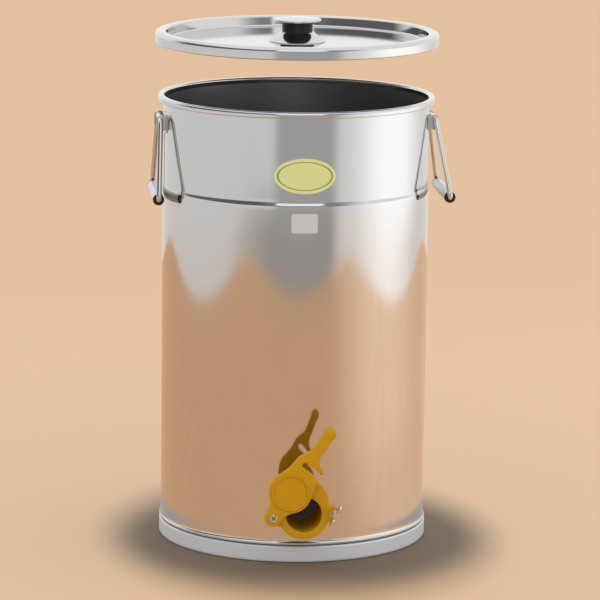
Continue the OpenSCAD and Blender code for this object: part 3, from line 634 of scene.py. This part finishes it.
profile = sheet(path, SHEET)
angles = np.radians(90 + 360 * np.arange(TURNS) / TURNS)
points = np.stack([profile[:, :1] * np.cos(angles), profile[:, :1] * np.sin(angles),
                   profile[:, 1:] + 0 * angles], axis=2)
all_points, quads = grid(points, close_rows=True, close_columns=True)
off_wall = (path[:, 0] > wall_mid + SAME_POINT) * tank_h
first = int(np.argmin(abs(path[:, 1] - (tap_z - window_half)) + off_wall))
last, count, middle = first + WINDOW_ROWS - 1, len(profile), TURNS // 2
quad_row, quad_column = quads[:, 0] // TURNS, quads[:, 0] % TURNS
in_columns = (quad_column >= middle - WINDOW_STEPS) & (quad_column < middle + WINDOW_STEPS)
inner_rows = (quad_row >= first) & (quad_row < last)
outer_rows = (quad_row >= count - 1 - last) & (quad_row < count - 1 - first)
shells = [(all_points, quads[~(in_columns & (inner_rows | outer_rows))])]

across = angles[middle - WINDOW_STEPS:middle + WINDOW_STEPS + 1]
up = path[first:last + 1, 1]
loop = np.vstack([
    np.stack([across[:-1], np.full(len(across) - 1, up[0])], axis=1),
    np.stack([np.full(len(up) - 1, across[-1]), up[:-1]], axis=1),
    np.stack([across[:0:-1], np.full(len(across) - 1, up[-1])], axis=1),
    np.stack([np.full(len(up) - 1, across[0]), up[:0:-1]], axis=1)])
front = 1.5 * np.pi
bearing = np.arctan2(loop[:, 1] - tap_z, wall_mid * np.sin(loop[:, 0] - front))
around = front + np.arcsin(hole_r * np.cos(bearing) / wall_mid)
circle = np.stack([around, tap_z + hole_r * np.sin(bearing)], axis=1)
share = np.linspace(0, 1, RINGS)[:, None, None]
rings = circle * (1 - share) + loop * share
for r in (wall_mid - SHEET / 2, wall_mid + SHEET / 2):
    on_wall = np.stack([r * np.cos(rings[..., 0]), r * np.sin(rings[..., 0]), rings[..., 1]], axis=2)
    shells.append(grid(on_wall, close_columns=True))
edge = np.stack([shells[-2][0][:len(loop)], shells[-1][0][:len(loop)]])
shells.append(grid(edge, close_columns=True))
piece("tank_wall_skin", shells, polished_steel, "tank", "polished_steel", "tank_wall")

# %% Floor pan and foot ring
floor_low, floor_high = box_mm("tank_floor")
foot_high = box_mm("foot_ring")[1]
floor_corner, foot_sheet = 4.0, 1.0
floor_mid_r, floor_mid_z = floor_high[0] - SHEET / 2, floor_low[2] + SHEET / 2
foot_mid_r, foot_top = foot_high[0] - foot_sheet / 2, foot_high[2] - foot_sheet / 2
ledge_w, tread_w, top_bend, low_bend = 14.0, 8.0, 1.5, 3.0

corner = arc((floor_mid_r - floor_corner, floor_mid_z + floor_corner), floor_corner, -90, 0)
path = join(straight((0, floor_mid_z), corner[0], 6), corner,
            straight(corner[-1], (floor_mid_r, floor_high[2]), 2))
piece("tank_floor_skin", [lathe(sheet(path, SHEET))], satin_steel, "tank", "satin_steel", "tank_floor")

top = arc((foot_mid_r - top_bend, foot_top - top_bend), top_bend, 90, 0)
low = arc((foot_mid_r - low_bend, foot_sheet / 2 + low_bend), low_bend, 0, -90)
path = join(straight((foot_mid_r - ledge_w, foot_top), top[0], 2), top, straight(top[-1], low[0], 4), low,
            straight(low[-1], (foot_mid_r - tread_w, foot_sheet / 2), 2))
piece("foot_ring_skin", [lathe(sheet(path, foot_sheet))], satin_steel, "tank", "satin_steel", "foot_ring")

# %% [markdown]
# ## Labels
#
# Both labels are bare films. Their thin printed border is drawn by the material from the object's x and
# z.

# %% Oval label and small sticker
FILM, FILM_GAP = 0.2, 0.05
label_low, label_high = box_mm("oval_label")
sticker_low, sticker_high = box_mm("small_sticker")
label_z, sticker_z = (label_low[2] + label_high[2]) / 2, (sticker_low[2] + sticker_high[2]) / 2
label_half = np.array([label_high[0], label_high[2] - label_z])
sticker_half = np.array([sticker_high[0], sticker_high[2] - sticker_z])
LABEL_MARGIN, LABEL_LINE, LABEL_INK_SHARE, LABEL_ROUGH, OVAL_STEP = 4.2, (0.036, 0.016), 0.9, 0.35, 3
LABEL_TONE, LABEL_INK = (0.71, 0.80, 0.34, 1), (0.12, 0.13, 0.04, 1)
STICKER_CORNER, STICKER_LINE, STICKER_INK_SHARE, STICKER_ROUGH = 4.0, (1.0, 0.6), 0.7, 0.4
STICKER_TONE, STICKER_INK = (0.58, 0.64, 0.69, 1), (0.16, 0.16, 0.16, 1)

label_film, wire = start_material("label_film")
x, y, z = axes(wire)
inner = (label_half - LABEL_MARGIN) * MM
u, v = x / inner[0], (z - label_z * MM) / inner[1]
radius = wire.math("SQRT", u * u + v * v)
line = step(wire, wire.math("ABSOLUTE", radius - 1.0), *LABEL_LINE)
tone = mix(wire, line * LABEL_INK_SHARE, LABEL_TONE, LABEL_INK)
end_material(wire, {"Base Color": tone, "Roughness": LABEL_ROUGH})

sticker_film, wire = start_material("sticker_film")
x, y, z = axes(wire)
inner = sticker_half - STICKER_CORNER
over_x = wire.math("MAXIMUM", wire.math("ABSOLUTE", x) - inner[0] * MM, 0.0)
over_z = wire.math("MAXIMUM", wire.math("ABSOLUTE", z - sticker_z * MM) - inner[1] * MM, 0.0)
reach = wire.math("SQRT", over_x * over_x + over_z * over_z)
line = step(wire, reach, *((STICKER_CORNER - inset) * MM for inset in STICKER_LINE))
tone = mix(wire, line * STICKER_INK_SHARE, STICKER_TONE, STICKER_INK)
end_material(wire, {"Base Color": tone, "Roughness": STICKER_ROUGH})

a = np.radians(np.arange(0, 360, OVAL_STEP))
oval = np.stack([label_half[0] * np.cos(a), label_half[1] * np.sin(a)], axis=1)
piece("oval_label_film", [film(oval, band_r + FILM_GAP, FILM, label_z)], label_film, "tank", "label_film",
      "oval_label")


def soft_box(half, corner, steps=8, spacing=1.5):
    """A rectangle with rounded corners about the origin, its sides cut into short steps."""
    x, y = np.array(half) - corner
    centres = ((x, y), (-x, y), (-x, -y), (x, -y))
    run = join(*[arc(c, corner, 90 * k, 90 * k + 90, steps) for k, c in enumerate(centres)])
    sides = zip(run, np.roll(run, -1, axis=0))
    cuts = [np.linspace(a, b, int(np.linalg.norm(b - a) / spacing) + 2)[:-1] for a, b in sides]
    return np.vstack(cuts)


box = soft_box(sticker_half, STICKER_CORNER)
piece("small_sticker_film", [film(box, wall_r + FILM_GAP, FILM, sticker_z)], sticker_film, "tank",
      "sticker_film", "small_sticker")

# %% [markdown]
# ## Handles
#
# Each handle is drawn once on the +X side, in the plane of its hinge, and turned to its own side. The
# bail is a round wire swept along rounded corners; the grip is a tube on two black bushes.

# %% Brackets, bails and grips
WIRE_R, WIRE_HOLE = 2.9, 2.96
hinge_r, hinge_z = 157.71, tank_h - 26.0
bail_top, bail_low, bail_h = 28.0, 57.5, 88.0
TOP_BEND, LOW_BEND, BEND_STEPS = 6.5, 4.0, 14
GRIP_R, GRIP_WALL, PLUG, COLLAR, GRIP_TURNS = 6.5, 1.0, 12.0, 3.0, 64
TUBE_SOFT, COLLAR_SOFT, EAR_SOFT, BUSH_EDGE, FIT_GAP = 0.35, 0.6, 0.25, 0.5, 0.05
tube_half, stub_end = 48.54, 37.54
LEAF_T, LEAF_HALF_W, LEAF_LOW, LEAF_HIGH, LEAF_CORNER = 1.2, 23.0, -16.0, 5.0, 2.0
leaf_in = band_r + FIT_GAP
EAR_T, EARS_HALF, EAR_DROP, EAR_END, EAR_CORNER, EAR_ROOT = 1.5, 21.5, 13.0, 4.26, 4.0, 1.0
SWING, HANDLES_TURN = {"left": 2.4, "right": 9.6}, 2.1

leaf_centre = hinge_z + (LEAF_LOW + LEAF_HIGH) / 2
leaf_box = soft_box((LEAF_HALF_W, (LEAF_HIGH - LEAF_LOW) / 2), LEAF_CORNER)
leaf = film(leaf_box, leaf_in, LEAF_T, leaf_centre)
ear_root = leaf_in + LEAF_T / 2 - hinge_r - EAR_ROOT
ear = join([[ear_root, -EAR_DROP]], arc((EAR_END - EAR_CORNER, EAR_CORNER - EAR_DROP), EAR_CORNER, -90, 0),
           arc((0, 0), EAR_END, 0, 90), [[ear_root, EAR_END]])
bail_path = rounded([(stub_end, -bail_h), (bail_low, -bail_h, LOW_BEND), (bail_top, 0, TOP_BEND),
                     (-bail_top, 0, TOP_BEND), (-bail_low, -bail_h, LOW_BEND), (-stub_end, -bail_h)],
                    BEND_STEPS)
tube_end = soft_band(-tube_half, tube_half, TUBE_SOFT)
tube_wall = join(np.stack([GRIP_R - tube_end[:, 0], tube_end[:, 1]], axis=1),
                 [[GRIP_R - GRIP_WALL, tube_half], [GRIP_R - GRIP_WALL, -tube_half]])
collar_end = soft_band(tube_half, tube_half + COLLAR, COLLAR_SOFT)
plug_r = GRIP_R - GRIP_WALL - FIT_GAP
bush = join([[WIRE_HOLE, tube_half - PLUG], [plug_r, tube_half - PLUG], [plug_r, tube_half]],
            np.stack([GRIP_R - collar_end[:, 0], collar_end[:, 1]], axis=1),
            [[WIRE_HOLE + BUSH_EDGE, tube_half + COLLAR], [WIRE_HOLE, tube_half + COLLAR - BUSH_EDGE]])

for side, swing in SWING.items():
    to_side = turn("Z", HANDLES_TURN + (0 if side == "right" else 180))
    hinge = to_side @ move(hinge_r, 0, hinge_z)
    hung = hinge @ turn("Y", -swing)
    grip = hung @ move(0, 0, -bail_h)
    ears = [placed(hinge @ move(0, face, 0) @ turn("X", 90), *slab(ear, 0, EAR_T, EAR_SOFT, WIRE_HOLE))
            for face in (EARS_HALF, EAR_T - EARS_HALF)]
    piece(f"{side}_bracket_plate", placed(to_side @ turn("Z", 90), leaf) + ears[0] + ears[1],
          bright_fittings, "tank", "bright_fittings", f"{side}_bracket")
    piece(f"{side}_bail_wire", placed(hung @ turn("Z", 90) @ turn("X", 90), swept(bail_path, WIRE_R)),
          bright_fittings, f"{side}_handle", "bright_fittings", f"{side}_bail")
    piece(f"{side}_grip_sleeve", placed(grip @ turn("X", -90), lathe(tube_wall, GRIP_TURNS)), satin_steel,
          f"{side}_grip", "satin_steel", f"{side}_grip_tube")
    bushes = [placed(grip @ turn("Z", half_turn) @ turn("X", -90), lathe(bush, GRIP_TURNS))[0]
              for half_turn in (0, 180)]
    piece(f"{side}_grip_ends", bushes, black_plastic, f"{side}_grip", "black_plastic",
          f"{side}_grip_bushes")

# %% [markdown]
# ## Lid and knob
#
# The lid is a second bent sheet: hem, skirt, flat flange, a sunk wall and the flat panel that carries the
# knob. The knob stacks a flared ferrule, a grooved neck and a shallow polished cap, which is black below.

# %% Lid pan
lid_high = box_mm("lid_pan")[1]
SKIRT_H, HEM, LID_CORNER, LID_INNER, PANEL_CORNER = 14.2, 0.9, 4.0, 2.0, 2.5
skirt_mid, lid_top = lid_high[0] - SHEET / 2, lid_high[2] - SHEET / 2
low_mid = lid_high[2] - SKIRT_H + SHEET / 2
sunk_mid, sunk_flare, SUNK_DEPTH = 149.2, 1.0, 12.0
panel_mid = lid_high[2] - SUNK_DEPTH - SHEET / 2
KNOB_HOLE = 3.3

hem = arc((skirt_mid - HEM, low_mid + HEM), HEM, -180, 0, 14)
corner = arc((skirt_mid - LID_CORNER, lid_top - LID_CORNER), LID_CORNER, 0, 90)
inner = arc((sunk_mid + sunk_flare + LID_INNER, lid_top - LID_INNER), LID_INNER, 90, 180)
foot = arc((sunk_mid - PANEL_CORNER, panel_mid + PANEL_CORNER), PANEL_CORNER, 0, -90)
path = join(hem, straight(hem[-1], corner[0], 2), corner, straight(corner[-1], inner[0], 2), inner,
            straight(inner[-1], foot[0], 4), foot,
            straight(foot[-1], (KNOB_HOLE, panel_mid), 8))
piece("lid_skin", [lathe(sheet(path, SHEET))], polished_steel, "lid", "polished_steel", "lid_pan")

# %% Knob
neck_low, neck_high = box_mm("knob_neck")
cap_low, cap_high = box_mm("knob_cap")
panel_top, neck_r, neck_h = panel_mid + SHEET / 2, neck_high[0], neck_high[2] - neck_low[2]
FERRULE_TOP, FERRULE_FOOT, FERRULE_POWER = 18.9, 32.0, 1.15
ferrule_rise = neck_low[2] - panel_top - SHEET
GROOVES, GROOVE_DEPTH, GROOVE_FLAT, NECK_EDGE = 4, 0.4, 1.6, 0.4
INSERT_BORE, INSERT_SHARE = 5.1, 0.7
cap_r, cap_h, CAP_EDGE, CAP_EDGE_Z, CAP_UNDER = cap_high[0], cap_high[2] - cap_low[2], 1.375, 2.1, 18.2
CAP_BLACK, CAP_FADE, CAP_ROUGH, UNDER_ROUGH = 0.9, 0.2, 0.08, 0.3
KNOB_TURNS, NECK_TURNS, FLARE_POINTS, NECK_POINTS, DOME_POINTS = 128, 96, 29, 133, 13

s = np.linspace(0, 1, FLARE_POINTS)
flare = np.stack([FERRULE_TOP + (FERRULE_FOOT - FERRULE_TOP) * (1 - s) ** FERRULE_POWER,
                  panel_top + SHEET / 2 + ferrule_rise * s], axis=1)
path = join(flare, straight(flare[-1], (KNOB_HOLE, flare[-1, 1]), 3))
piece("ferrule_skin", [lathe(sheet(path, SHEET), KNOB_TURNS)], polished_steel, "lid", "polished_steel",
      "knob_ferrule")

z = np.linspace(0, neck_h, NECK_POINTS)
wave = np.clip(-np.cos(np.pi * (2 * GROOVES + 1) * (z / neck_h)) * GROOVE_FLAT, 0, 1)
wave = wave * ((z > NECK_EDGE) & (z < neck_h - NECK_EDGE))
neck_wall = np.stack([neck_r - GROOVE_DEPTH * wave, z], axis=1)
bore_top = neck_h * INSERT_SHARE
profile = join([[INSERT_BORE, 0]], neck_wall, [[0, neck_h], [0, bore_top], [INSERT_BORE, bore_top]])
piece("neck_skin", placed(move(0, 0, neck_low[2]), lathe(profile, NECK_TURNS)), black_plastic, "lid",
      "black_plastic", "knob_neck")

cap_steel, wire = start_material("cap_steel")
x, y, z = axes(wire)
under = step(wire, z, (cap_low[2] + CAP_BLACK + CAP_FADE) * MM, (cap_low[2] + CAP_BLACK) * MM)
end_material(wire, {"Base Color": mix(wire, under, STEEL, BLACK), "Metallic": 1.0 - under,
                    "Roughness": under * UNDER_ROUGH + CAP_ROUGH})

s = 1 - np.linspace(0, 1, DOME_POINTS)[1:]
rim_top = CAP_EDGE_Z + CAP_EDGE
dome = np.stack([(cap_r - CAP_EDGE) * s, rim_top + (cap_h - rim_top) * (1 - s * s)], axis=1)
profile = join([[0, 0], [CAP_UNDER, 0]], arc((cap_r - CAP_EDGE, CAP_EDGE_Z), CAP_EDGE, -90, 90, 12), dome)
piece("cap_skin", placed(move(0, 0, cap_low[2]), lathe(profile, KNOB_TURNS)), cap_steel, "lid",
      "polished_steel", "knob_cap")

# %% [markdown]
# ## Tap body
#
# The body is one closed grid of angle by station. A station is a distance from the drum's axis with a
# radius for every angle, so the round bore, spigot, collar and neck grow into the flange, whose outline
# is a stadium joined softly to two ears.

# %% Tap body
tap_frame = move(0, 0, tap_z) @ turn("X", 90) @ turn("Z", tap_turn)
BORE, SPIGOT, TAP_COLLAR, TAP_NECK, FLANGE, RISE = 20.3, 23.9, 31.0, 25.0, 28.5, 13.0
PIVOT, EAR_R, CLAMP_EAR_R, BLEND = 34.5, 9.5, 7.0, 0.8
spigot_end, collar_s, neck_s, flange_s, seat_s, seat_top = 132.4, 158.5, 164.0, 190.0, 196.0, 198.0
SPIGOT_SOFT, COLLAR_EDGE, NECK_BEND, FLANGE_SOFT, SEAT_SOFT, SEAT_INSET = 0.6, 0.9, 2.5, 0.45, 0.5, 0.5
BORE_EDGE, BORE_LIP, SPIGOT_LIP, BORE_ROWS, BEND_ROWS, TINY = 0.6, 0.2, 0.5, 5, 6, 1e-9
phi = np.linspace(0, 2 * np.pi, TURNS, endpoint=False)


def link(angle, from_r, to_r, length):
    """Radius, from the first one's centre, of two circles along X and the straight lines touching both."""
    lean = math.acos((from_r - to_r) / length)
    meet = math.atan2(to_r * math.sin(lean), length + to_r * math.cos(lean))
    a = abs((angle + np.pi) % (2 * np.pi) - np.pi)
    far = length * np.cos(a) + np.sqrt(np.maximum(to_r ** 2 - (length * np.sin(a)) ** 2, 0))
    line = from_r / np.cos(np.minimum(a, lean) - lean)
    return np.where(a < meet, far, np.where(a < lean, line, from_r))


def stadium(angle, radius, rise):
    """Radius of a circle at the origin, one above it, and the band between them."""
    upright = np.maximum(np.sin(angle), 0)
    side = radius / np.maximum(abs(np.cos(angle)), TINY)
    top = rise * np.sin(angle) + np.sqrt(radius ** 2 - (rise * np.cos(angle)) ** 2)
    return np.where(upright == 0, radius, np.where(side * upright < rise, side, top))


def soft_max(a, b, blend):
    """The larger of two values, with the corner between them rounded off."""
    return blend * np.logaddexp(a / blend, b / blend)


ears_link = np.maximum(link(phi, BORE, CLAMP_EAR_R, PIVOT), link(phi + np.pi, BORE, EAR_R, PIVOT))
flange_outline = soft_max(stadium(phi, FLANGE, RISE), ears_link, BLEND)
seat_outline = soft_max(np.full(len(phi), FLANGE), ears_link, BLEND) - SEAT_INSET
around = np.ones(len(phi))
spigot_band = soft_band(spigot_end, collar_s, SPIGOT_SOFT)
seat_band = soft_band(seat_s, seat_top, SEAT_SOFT)
bore_band = np.linspace(seat_top - BORE_EDGE, spigot_end + SPIGOT_LIP, BORE_ROWS)
bend_r = TAP_NECK + NECK_BEND
stations = [(BORE * around, s) for s in bore_band]
stations += [((SPIGOT - inset) * around, s) for inset, s in spigot_band[:len(spigot_band) // 2]]
stations += [(SPIGOT * around, collar_s)]
stations += [((TAP_COLLAR - inset) * around, s) for inset, s in soft_band(collar_s, neck_s, COLLAR_EDGE)]
stations += [(r * around, s) for r, s in arc((bend_r, neck_s + NECK_BEND), NECK_BEND, 270, 180, BEND_ROWS)]
stations += [(r * around, s) for r, s in arc((bend_r, flange_s - NECK_BEND), NECK_BEND, 180, 90, BEND_ROWS)]
stations += [(flange_outline - inset, s) for inset, s in soft_band(flange_s, seat_s, FLANGE_SOFT)]
stations += [(seat_outline - inset, s) for inset, s in seat_band[len(seat_band) // 2 - 1:]]
stations += [((BORE + BORE_EDGE) * around, seat_top), ((BORE + BORE_LIP) * around, seat_top - BORE_LIP)]
points = np.stack([np.stack([r * np.cos(phi), r * np.sin(phi), s * around], axis=1) for r, s in stations])
piece("tap_body_skin", placed(tap_frame, grid(points, close_rows=True, close_columns=True)), yellow_plastic,
      "tank", "yellow_plastic", "tap_body")

# %% [markdown]
# ## Gate
#
# The gate is a slab: a pivot eye, a hollow waist, a disc, a hook with the notch for the clamp bolt, and a
# lever with a round tip. Its outline runs anticlockwise from the eye. A raised ring and a domed tip stand
# on its front. Corners are (x, y, radius), from the pivot.

# %% Gate plate
GATE_OPEN, GATE_T, DISC, EYE, TIP, LEVER, HALF_W = 53.5, 5.2, 24.2, 10.0, 7.2, 114.0, 6.2
NOTCH, NOTCH_DEEP, BOLT_R, BOLT_GAP, WAIST, WAIST_STEPS = 3.2, 2.8, 2.5, 0.06, 20.0, 12
RING_R, RING_W, RING_H, RING_SOFT, RING_ROOT, SUNK = 21.0, 2.2, 1.5, 0.7, 1.0, 0.3
TIP_RISE, TIP_EDGE, TIP_FOOT, GATE_SOFT, SEAT_GAP, LIP_GAP = 0.8, 1.5, 0.2, 1.3, 0.3, 0.5
HOOK_CORNER = (63.0, -19.07, 1.6)
LEVER_LOW = [(69.75, -18.63, 0.7), (72.5, -18.63, 1.0), (76.0, -15.85, 3), (79.5, -8.71, 6),
             (85.0, -HALF_W, 8), (109.5, -HALF_W, 5)]
LEVER_HIGH = [(109.5, HALF_W, 5), (89.0, HALF_W, 14), (74.0, 14.76, 9), (58.0, 16.7, 22)]
gate_s = seat_top + SEAT_GAP
bolt_line = 2 * PIVOT
lip_deg, hook_deg, web_deg, tip_deg, tip_arc = -14.0, -80, 64.0, -13.5, 100
inner_r, outer_r = bolt_line - NOTCH, bolt_line + NOTCH
notch_at = arc((0, 0), bolt_line, NOTCH_DEEP, NOTCH_DEEP, 1)[0]
lip_at = arc((0, 0), inner_r, lip_deg, lip_deg, 1)[0]
hook_tip = arc((0, 0), outer_r, tip_deg, tip_deg, 1)[0]
web = arc((PIVOT, 0), DISC, hook_deg, web_deg, 1)
tip_ends = arc((LEVER, 0), TIP, -tip_arc, tip_arc, 1)


def waist(fillet):
    """The angles where a hollow arc touches the eye and the disc on the +Y side, and then that arc."""
    x = ((EYE + fillet) ** 2 - (DISC + fillet) ** 2 + PIVOT ** 2) / (2 * PIVOT)
    y = math.sqrt((EYE + fillet) ** 2 - x * x)
    at_eye, at_disc = math.degrees(math.atan2(y, x)), math.degrees(math.atan2(y, x - PIVOT))
    return at_eye, at_disc, arc((x, y), fillet, at_disc - 180, at_eye - 180, WAIST_STEPS)[1:-1]


at_eye, at_disc, hollow = waist(WAIST)
outline = join(
    arc((0, 0), EYE, at_eye, 360 - at_eye, 16), hollow[::-1] * (1, -1),
    arc((PIVOT, 0), DISC, -at_disc, hook_deg, 10),
    rounded([web[0], HOOK_CORNER, lip_at])[1:-1],
    arc((0, 0), inner_r, lip_deg + LIP_GAP, NOTCH_DEEP - LIP_GAP, 10),
    arc(notch_at, NOTCH, 180 + NOTCH_DEEP, NOTCH_DEEP, 14),
    arc((0, 0), outer_r, NOTCH_DEEP - LIP_GAP, tip_deg + LIP_GAP, 10),
    rounded([hook_tip, *LEVER_LOW, tip_ends[0]])[1:-1],
    arc((LEVER, 0), TIP, -tip_arc, tip_arc, 24),
    rounded([tip_ends[1], *LEVER_HIGH, web[1]])[1:-1],
    arc((PIVOT, 0), DISC, web_deg, at_disc, 10), hollow)
gate_shells = slab(outline, 0, GATE_T, GATE_SOFT, BOLT_R + BOLT_GAP)
ring_top = soft_band(GATE_T - RING_ROOT, GATE_T + RING_H, RING_SOFT)
crown = ring_top[len(ring_top) // 2:]
ring_out = np.stack([RING_R - crown[:, 0], crown[:, 1]], axis=1)
ring_in = np.stack([RING_R - RING_W + crown[::-1, 0], crown[::-1, 1]], axis=1)
ring = join([[RING_R, GATE_T - SUNK]], ring_out, ring_in, [[RING_R - RING_W, GATE_T - SUNK]])
a = np.radians(np.linspace(0, 90, 9))
dome_r, dome_z = TIP - TIP_EDGE, GATE_T - TIP_FOOT
tip_dome = np.stack([dome_r * np.cos(a), dome_z + (TIP_RISE + TIP_FOOT) * np.sin(a)], axis=1)
tip_dome = join(tip_dome, [[0, GATE_T - SUNK], [dome_r, GATE_T - SUNK]])
gate_shells += placed(move(PIVOT), lathe(ring, 96)) + placed(move(LEVER), lathe(tip_dome, 48))
gate_frame = tap_frame @ move(-PIVOT, 0, gate_s) @ turn("Z", GATE_OPEN)
piece("gate_skin", placed(gate_frame, *gate_shells), yellow_plastic, "gate", "yellow_plastic", "gate_plate")

# %% [markdown]
# ## Screw and wing nut
#
# The screw's head is a dome from which a cross-shaped recess is subtracted, as one height for each radius
# and angle.

# %% Pivot screw and wing nut
PAN_R, PAN_H, PAN_EDGE, PAN_SIDE, PAN_DOME, SCREW_EDGE = 4.8, 3.2, 0.4, 1.6, 0.3, 0.4
DRIVE_W, DRIVE_L, DRIVE_DEPTH, DRIVE_SLOPE, PAN_ROWS, PAN_TURNS = 1.8, 6.0, 2.4, 0.5, 30, 96
screw_low, screw_high = box_mm("pivot_screw")
pan_s, screw_end = -screw_low[1] - PAN_H, -screw_high[1]
WING_R, WING_T, WING_LIFT, WING_HALF, WING_TURN, WING_SOFT = 5.0, 2.2, 2.0, 13.0, 58.0, 0.6
HUB_R, HUB_H, WING_ROOT, WING_END = 4.75, 7.0, 1.9, 150
wing_s = 204.8

rho = np.linspace(0, PAN_R - PAN_EDGE, PAN_ROWS)[:, None]
a = np.linspace(0, 2 * np.pi, PAN_TURNS, endpoint=False)[None, :]
x, y = rho * np.cos(a + np.pi / 4), rho * np.sin(a + np.pi / 4)
short, long = np.minimum(abs(x), abs(y)), np.maximum(abs(x), abs(y))
cross = np.clip(1 - 2 * short / DRIVE_W, 0, 1) * np.clip((DRIVE_L / 2 - long) / DRIVE_SLOPE, 0, 1)
height = pan_s + PAN_H * (1 - PAN_DOME * (rho / PAN_R) ** 2) - DRIVE_DEPTH * cross
head = np.stack([rho * np.cos(a), rho * np.sin(a), height], axis=2)
below = np.array([[PAN_R, pan_s + PAN_SIDE], [PAN_R, pan_s], [BOLT_R, pan_s],
                  [BOLT_R, screw_end + SCREW_EDGE], [BOLT_R - SCREW_EDGE, screw_end], [0, screw_end]])
rest = np.stack([below[:, :1] * np.cos(a), below[:, :1] * np.sin(a), below[:, 1:] + 0 * a], axis=2)
screw = grid(np.vstack([head, rest]), close_columns=True)
piece("pivot_screw_skin", placed(tap_frame @ move(-PIVOT), screw), bright_fittings, "tank",
      "bright_fittings", "pivot_screw")

hub_bore = BOLT_R + BOLT_GAP
hub = np.array([[hub_bore, 0], [HUB_R, 0], [HUB_R, 1.2], [HUB_R - 0.5, 2.2], [HUB_R - 1.0, HUB_H - 0.4],
                [HUB_R - 1.4, HUB_H], [hub_bore, HUB_H]])
centre_x, centre_z, root_x = WING_HALF - WING_R, WING_LIFT + WING_R, HUB_R - WING_ROOT
under_wing = [(root_x, WING_LIFT), (HUB_R + 1.0, WING_LIFT - 0.2, 2), (centre_x, WING_LIFT)]
over_wing = [(centre_x - 4.4, centre_z + 2.0), (HUB_R - 1.0, HUB_H - 1.0, 2), (root_x, HUB_H - 1.2)]
wing = join(rounded(under_wing), arc((centre_x, centre_z), WING_R, -90, WING_END, 20), rounded(over_wing))
wings = [placed(turn("Z", half_turn) @ turn("X", 90), *slab(wing, -WING_T / 2, WING_T / 2, WING_SOFT))
         for half_turn in (0, 180)]
wing_frame = tap_frame @ move(PIVOT, 0, wing_s) @ turn("Z", WING_TURN)
piece("wing_nut_skin", placed(wing_frame, lathe(hub, 48), *wings[0], *wings[1]), bright_fittings,
      "wing_nut", "bright_fittings", "clamp_wing_nut")

# %% [markdown]
# ## Pieces that keep their CAD shape
#
# Seals, nuts, washers and the knob's screw are small or hidden, so their CAD meshes only get a material.

# %% Paint the CAD meshes that stay
FITTING, SEAL = ("bright_fittings", bright_fittings), ("seal_rubber", seal_rubber)
KEPT = {
    "knob_insert": ("brass", brass), "knob_screw": FITTING, "knob_washer": FITTING,
    "tap_outer_gasket": SEAL, "tap_inner_gasket": SEAL, "tap_lock_nut": ("yellow_plastic", yellow_plastic),
    "pivot_washer": FITTING, "pivot_nut": FITTING, "clamp_bolt": FITTING, "clamp_washer": FITTING,
}
for node, (slot, material) in KEPT.items():
    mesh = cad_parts[node].data
    mesh.materials.clear()
    mesh.materials.append(material)
print("CAD meshes kept:", len(KEPT))

# %% [markdown]
# ## Print the visual box

# %% Measure the visual box
low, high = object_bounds()
print("visual box:", [round(x, 4) for x in high - low])
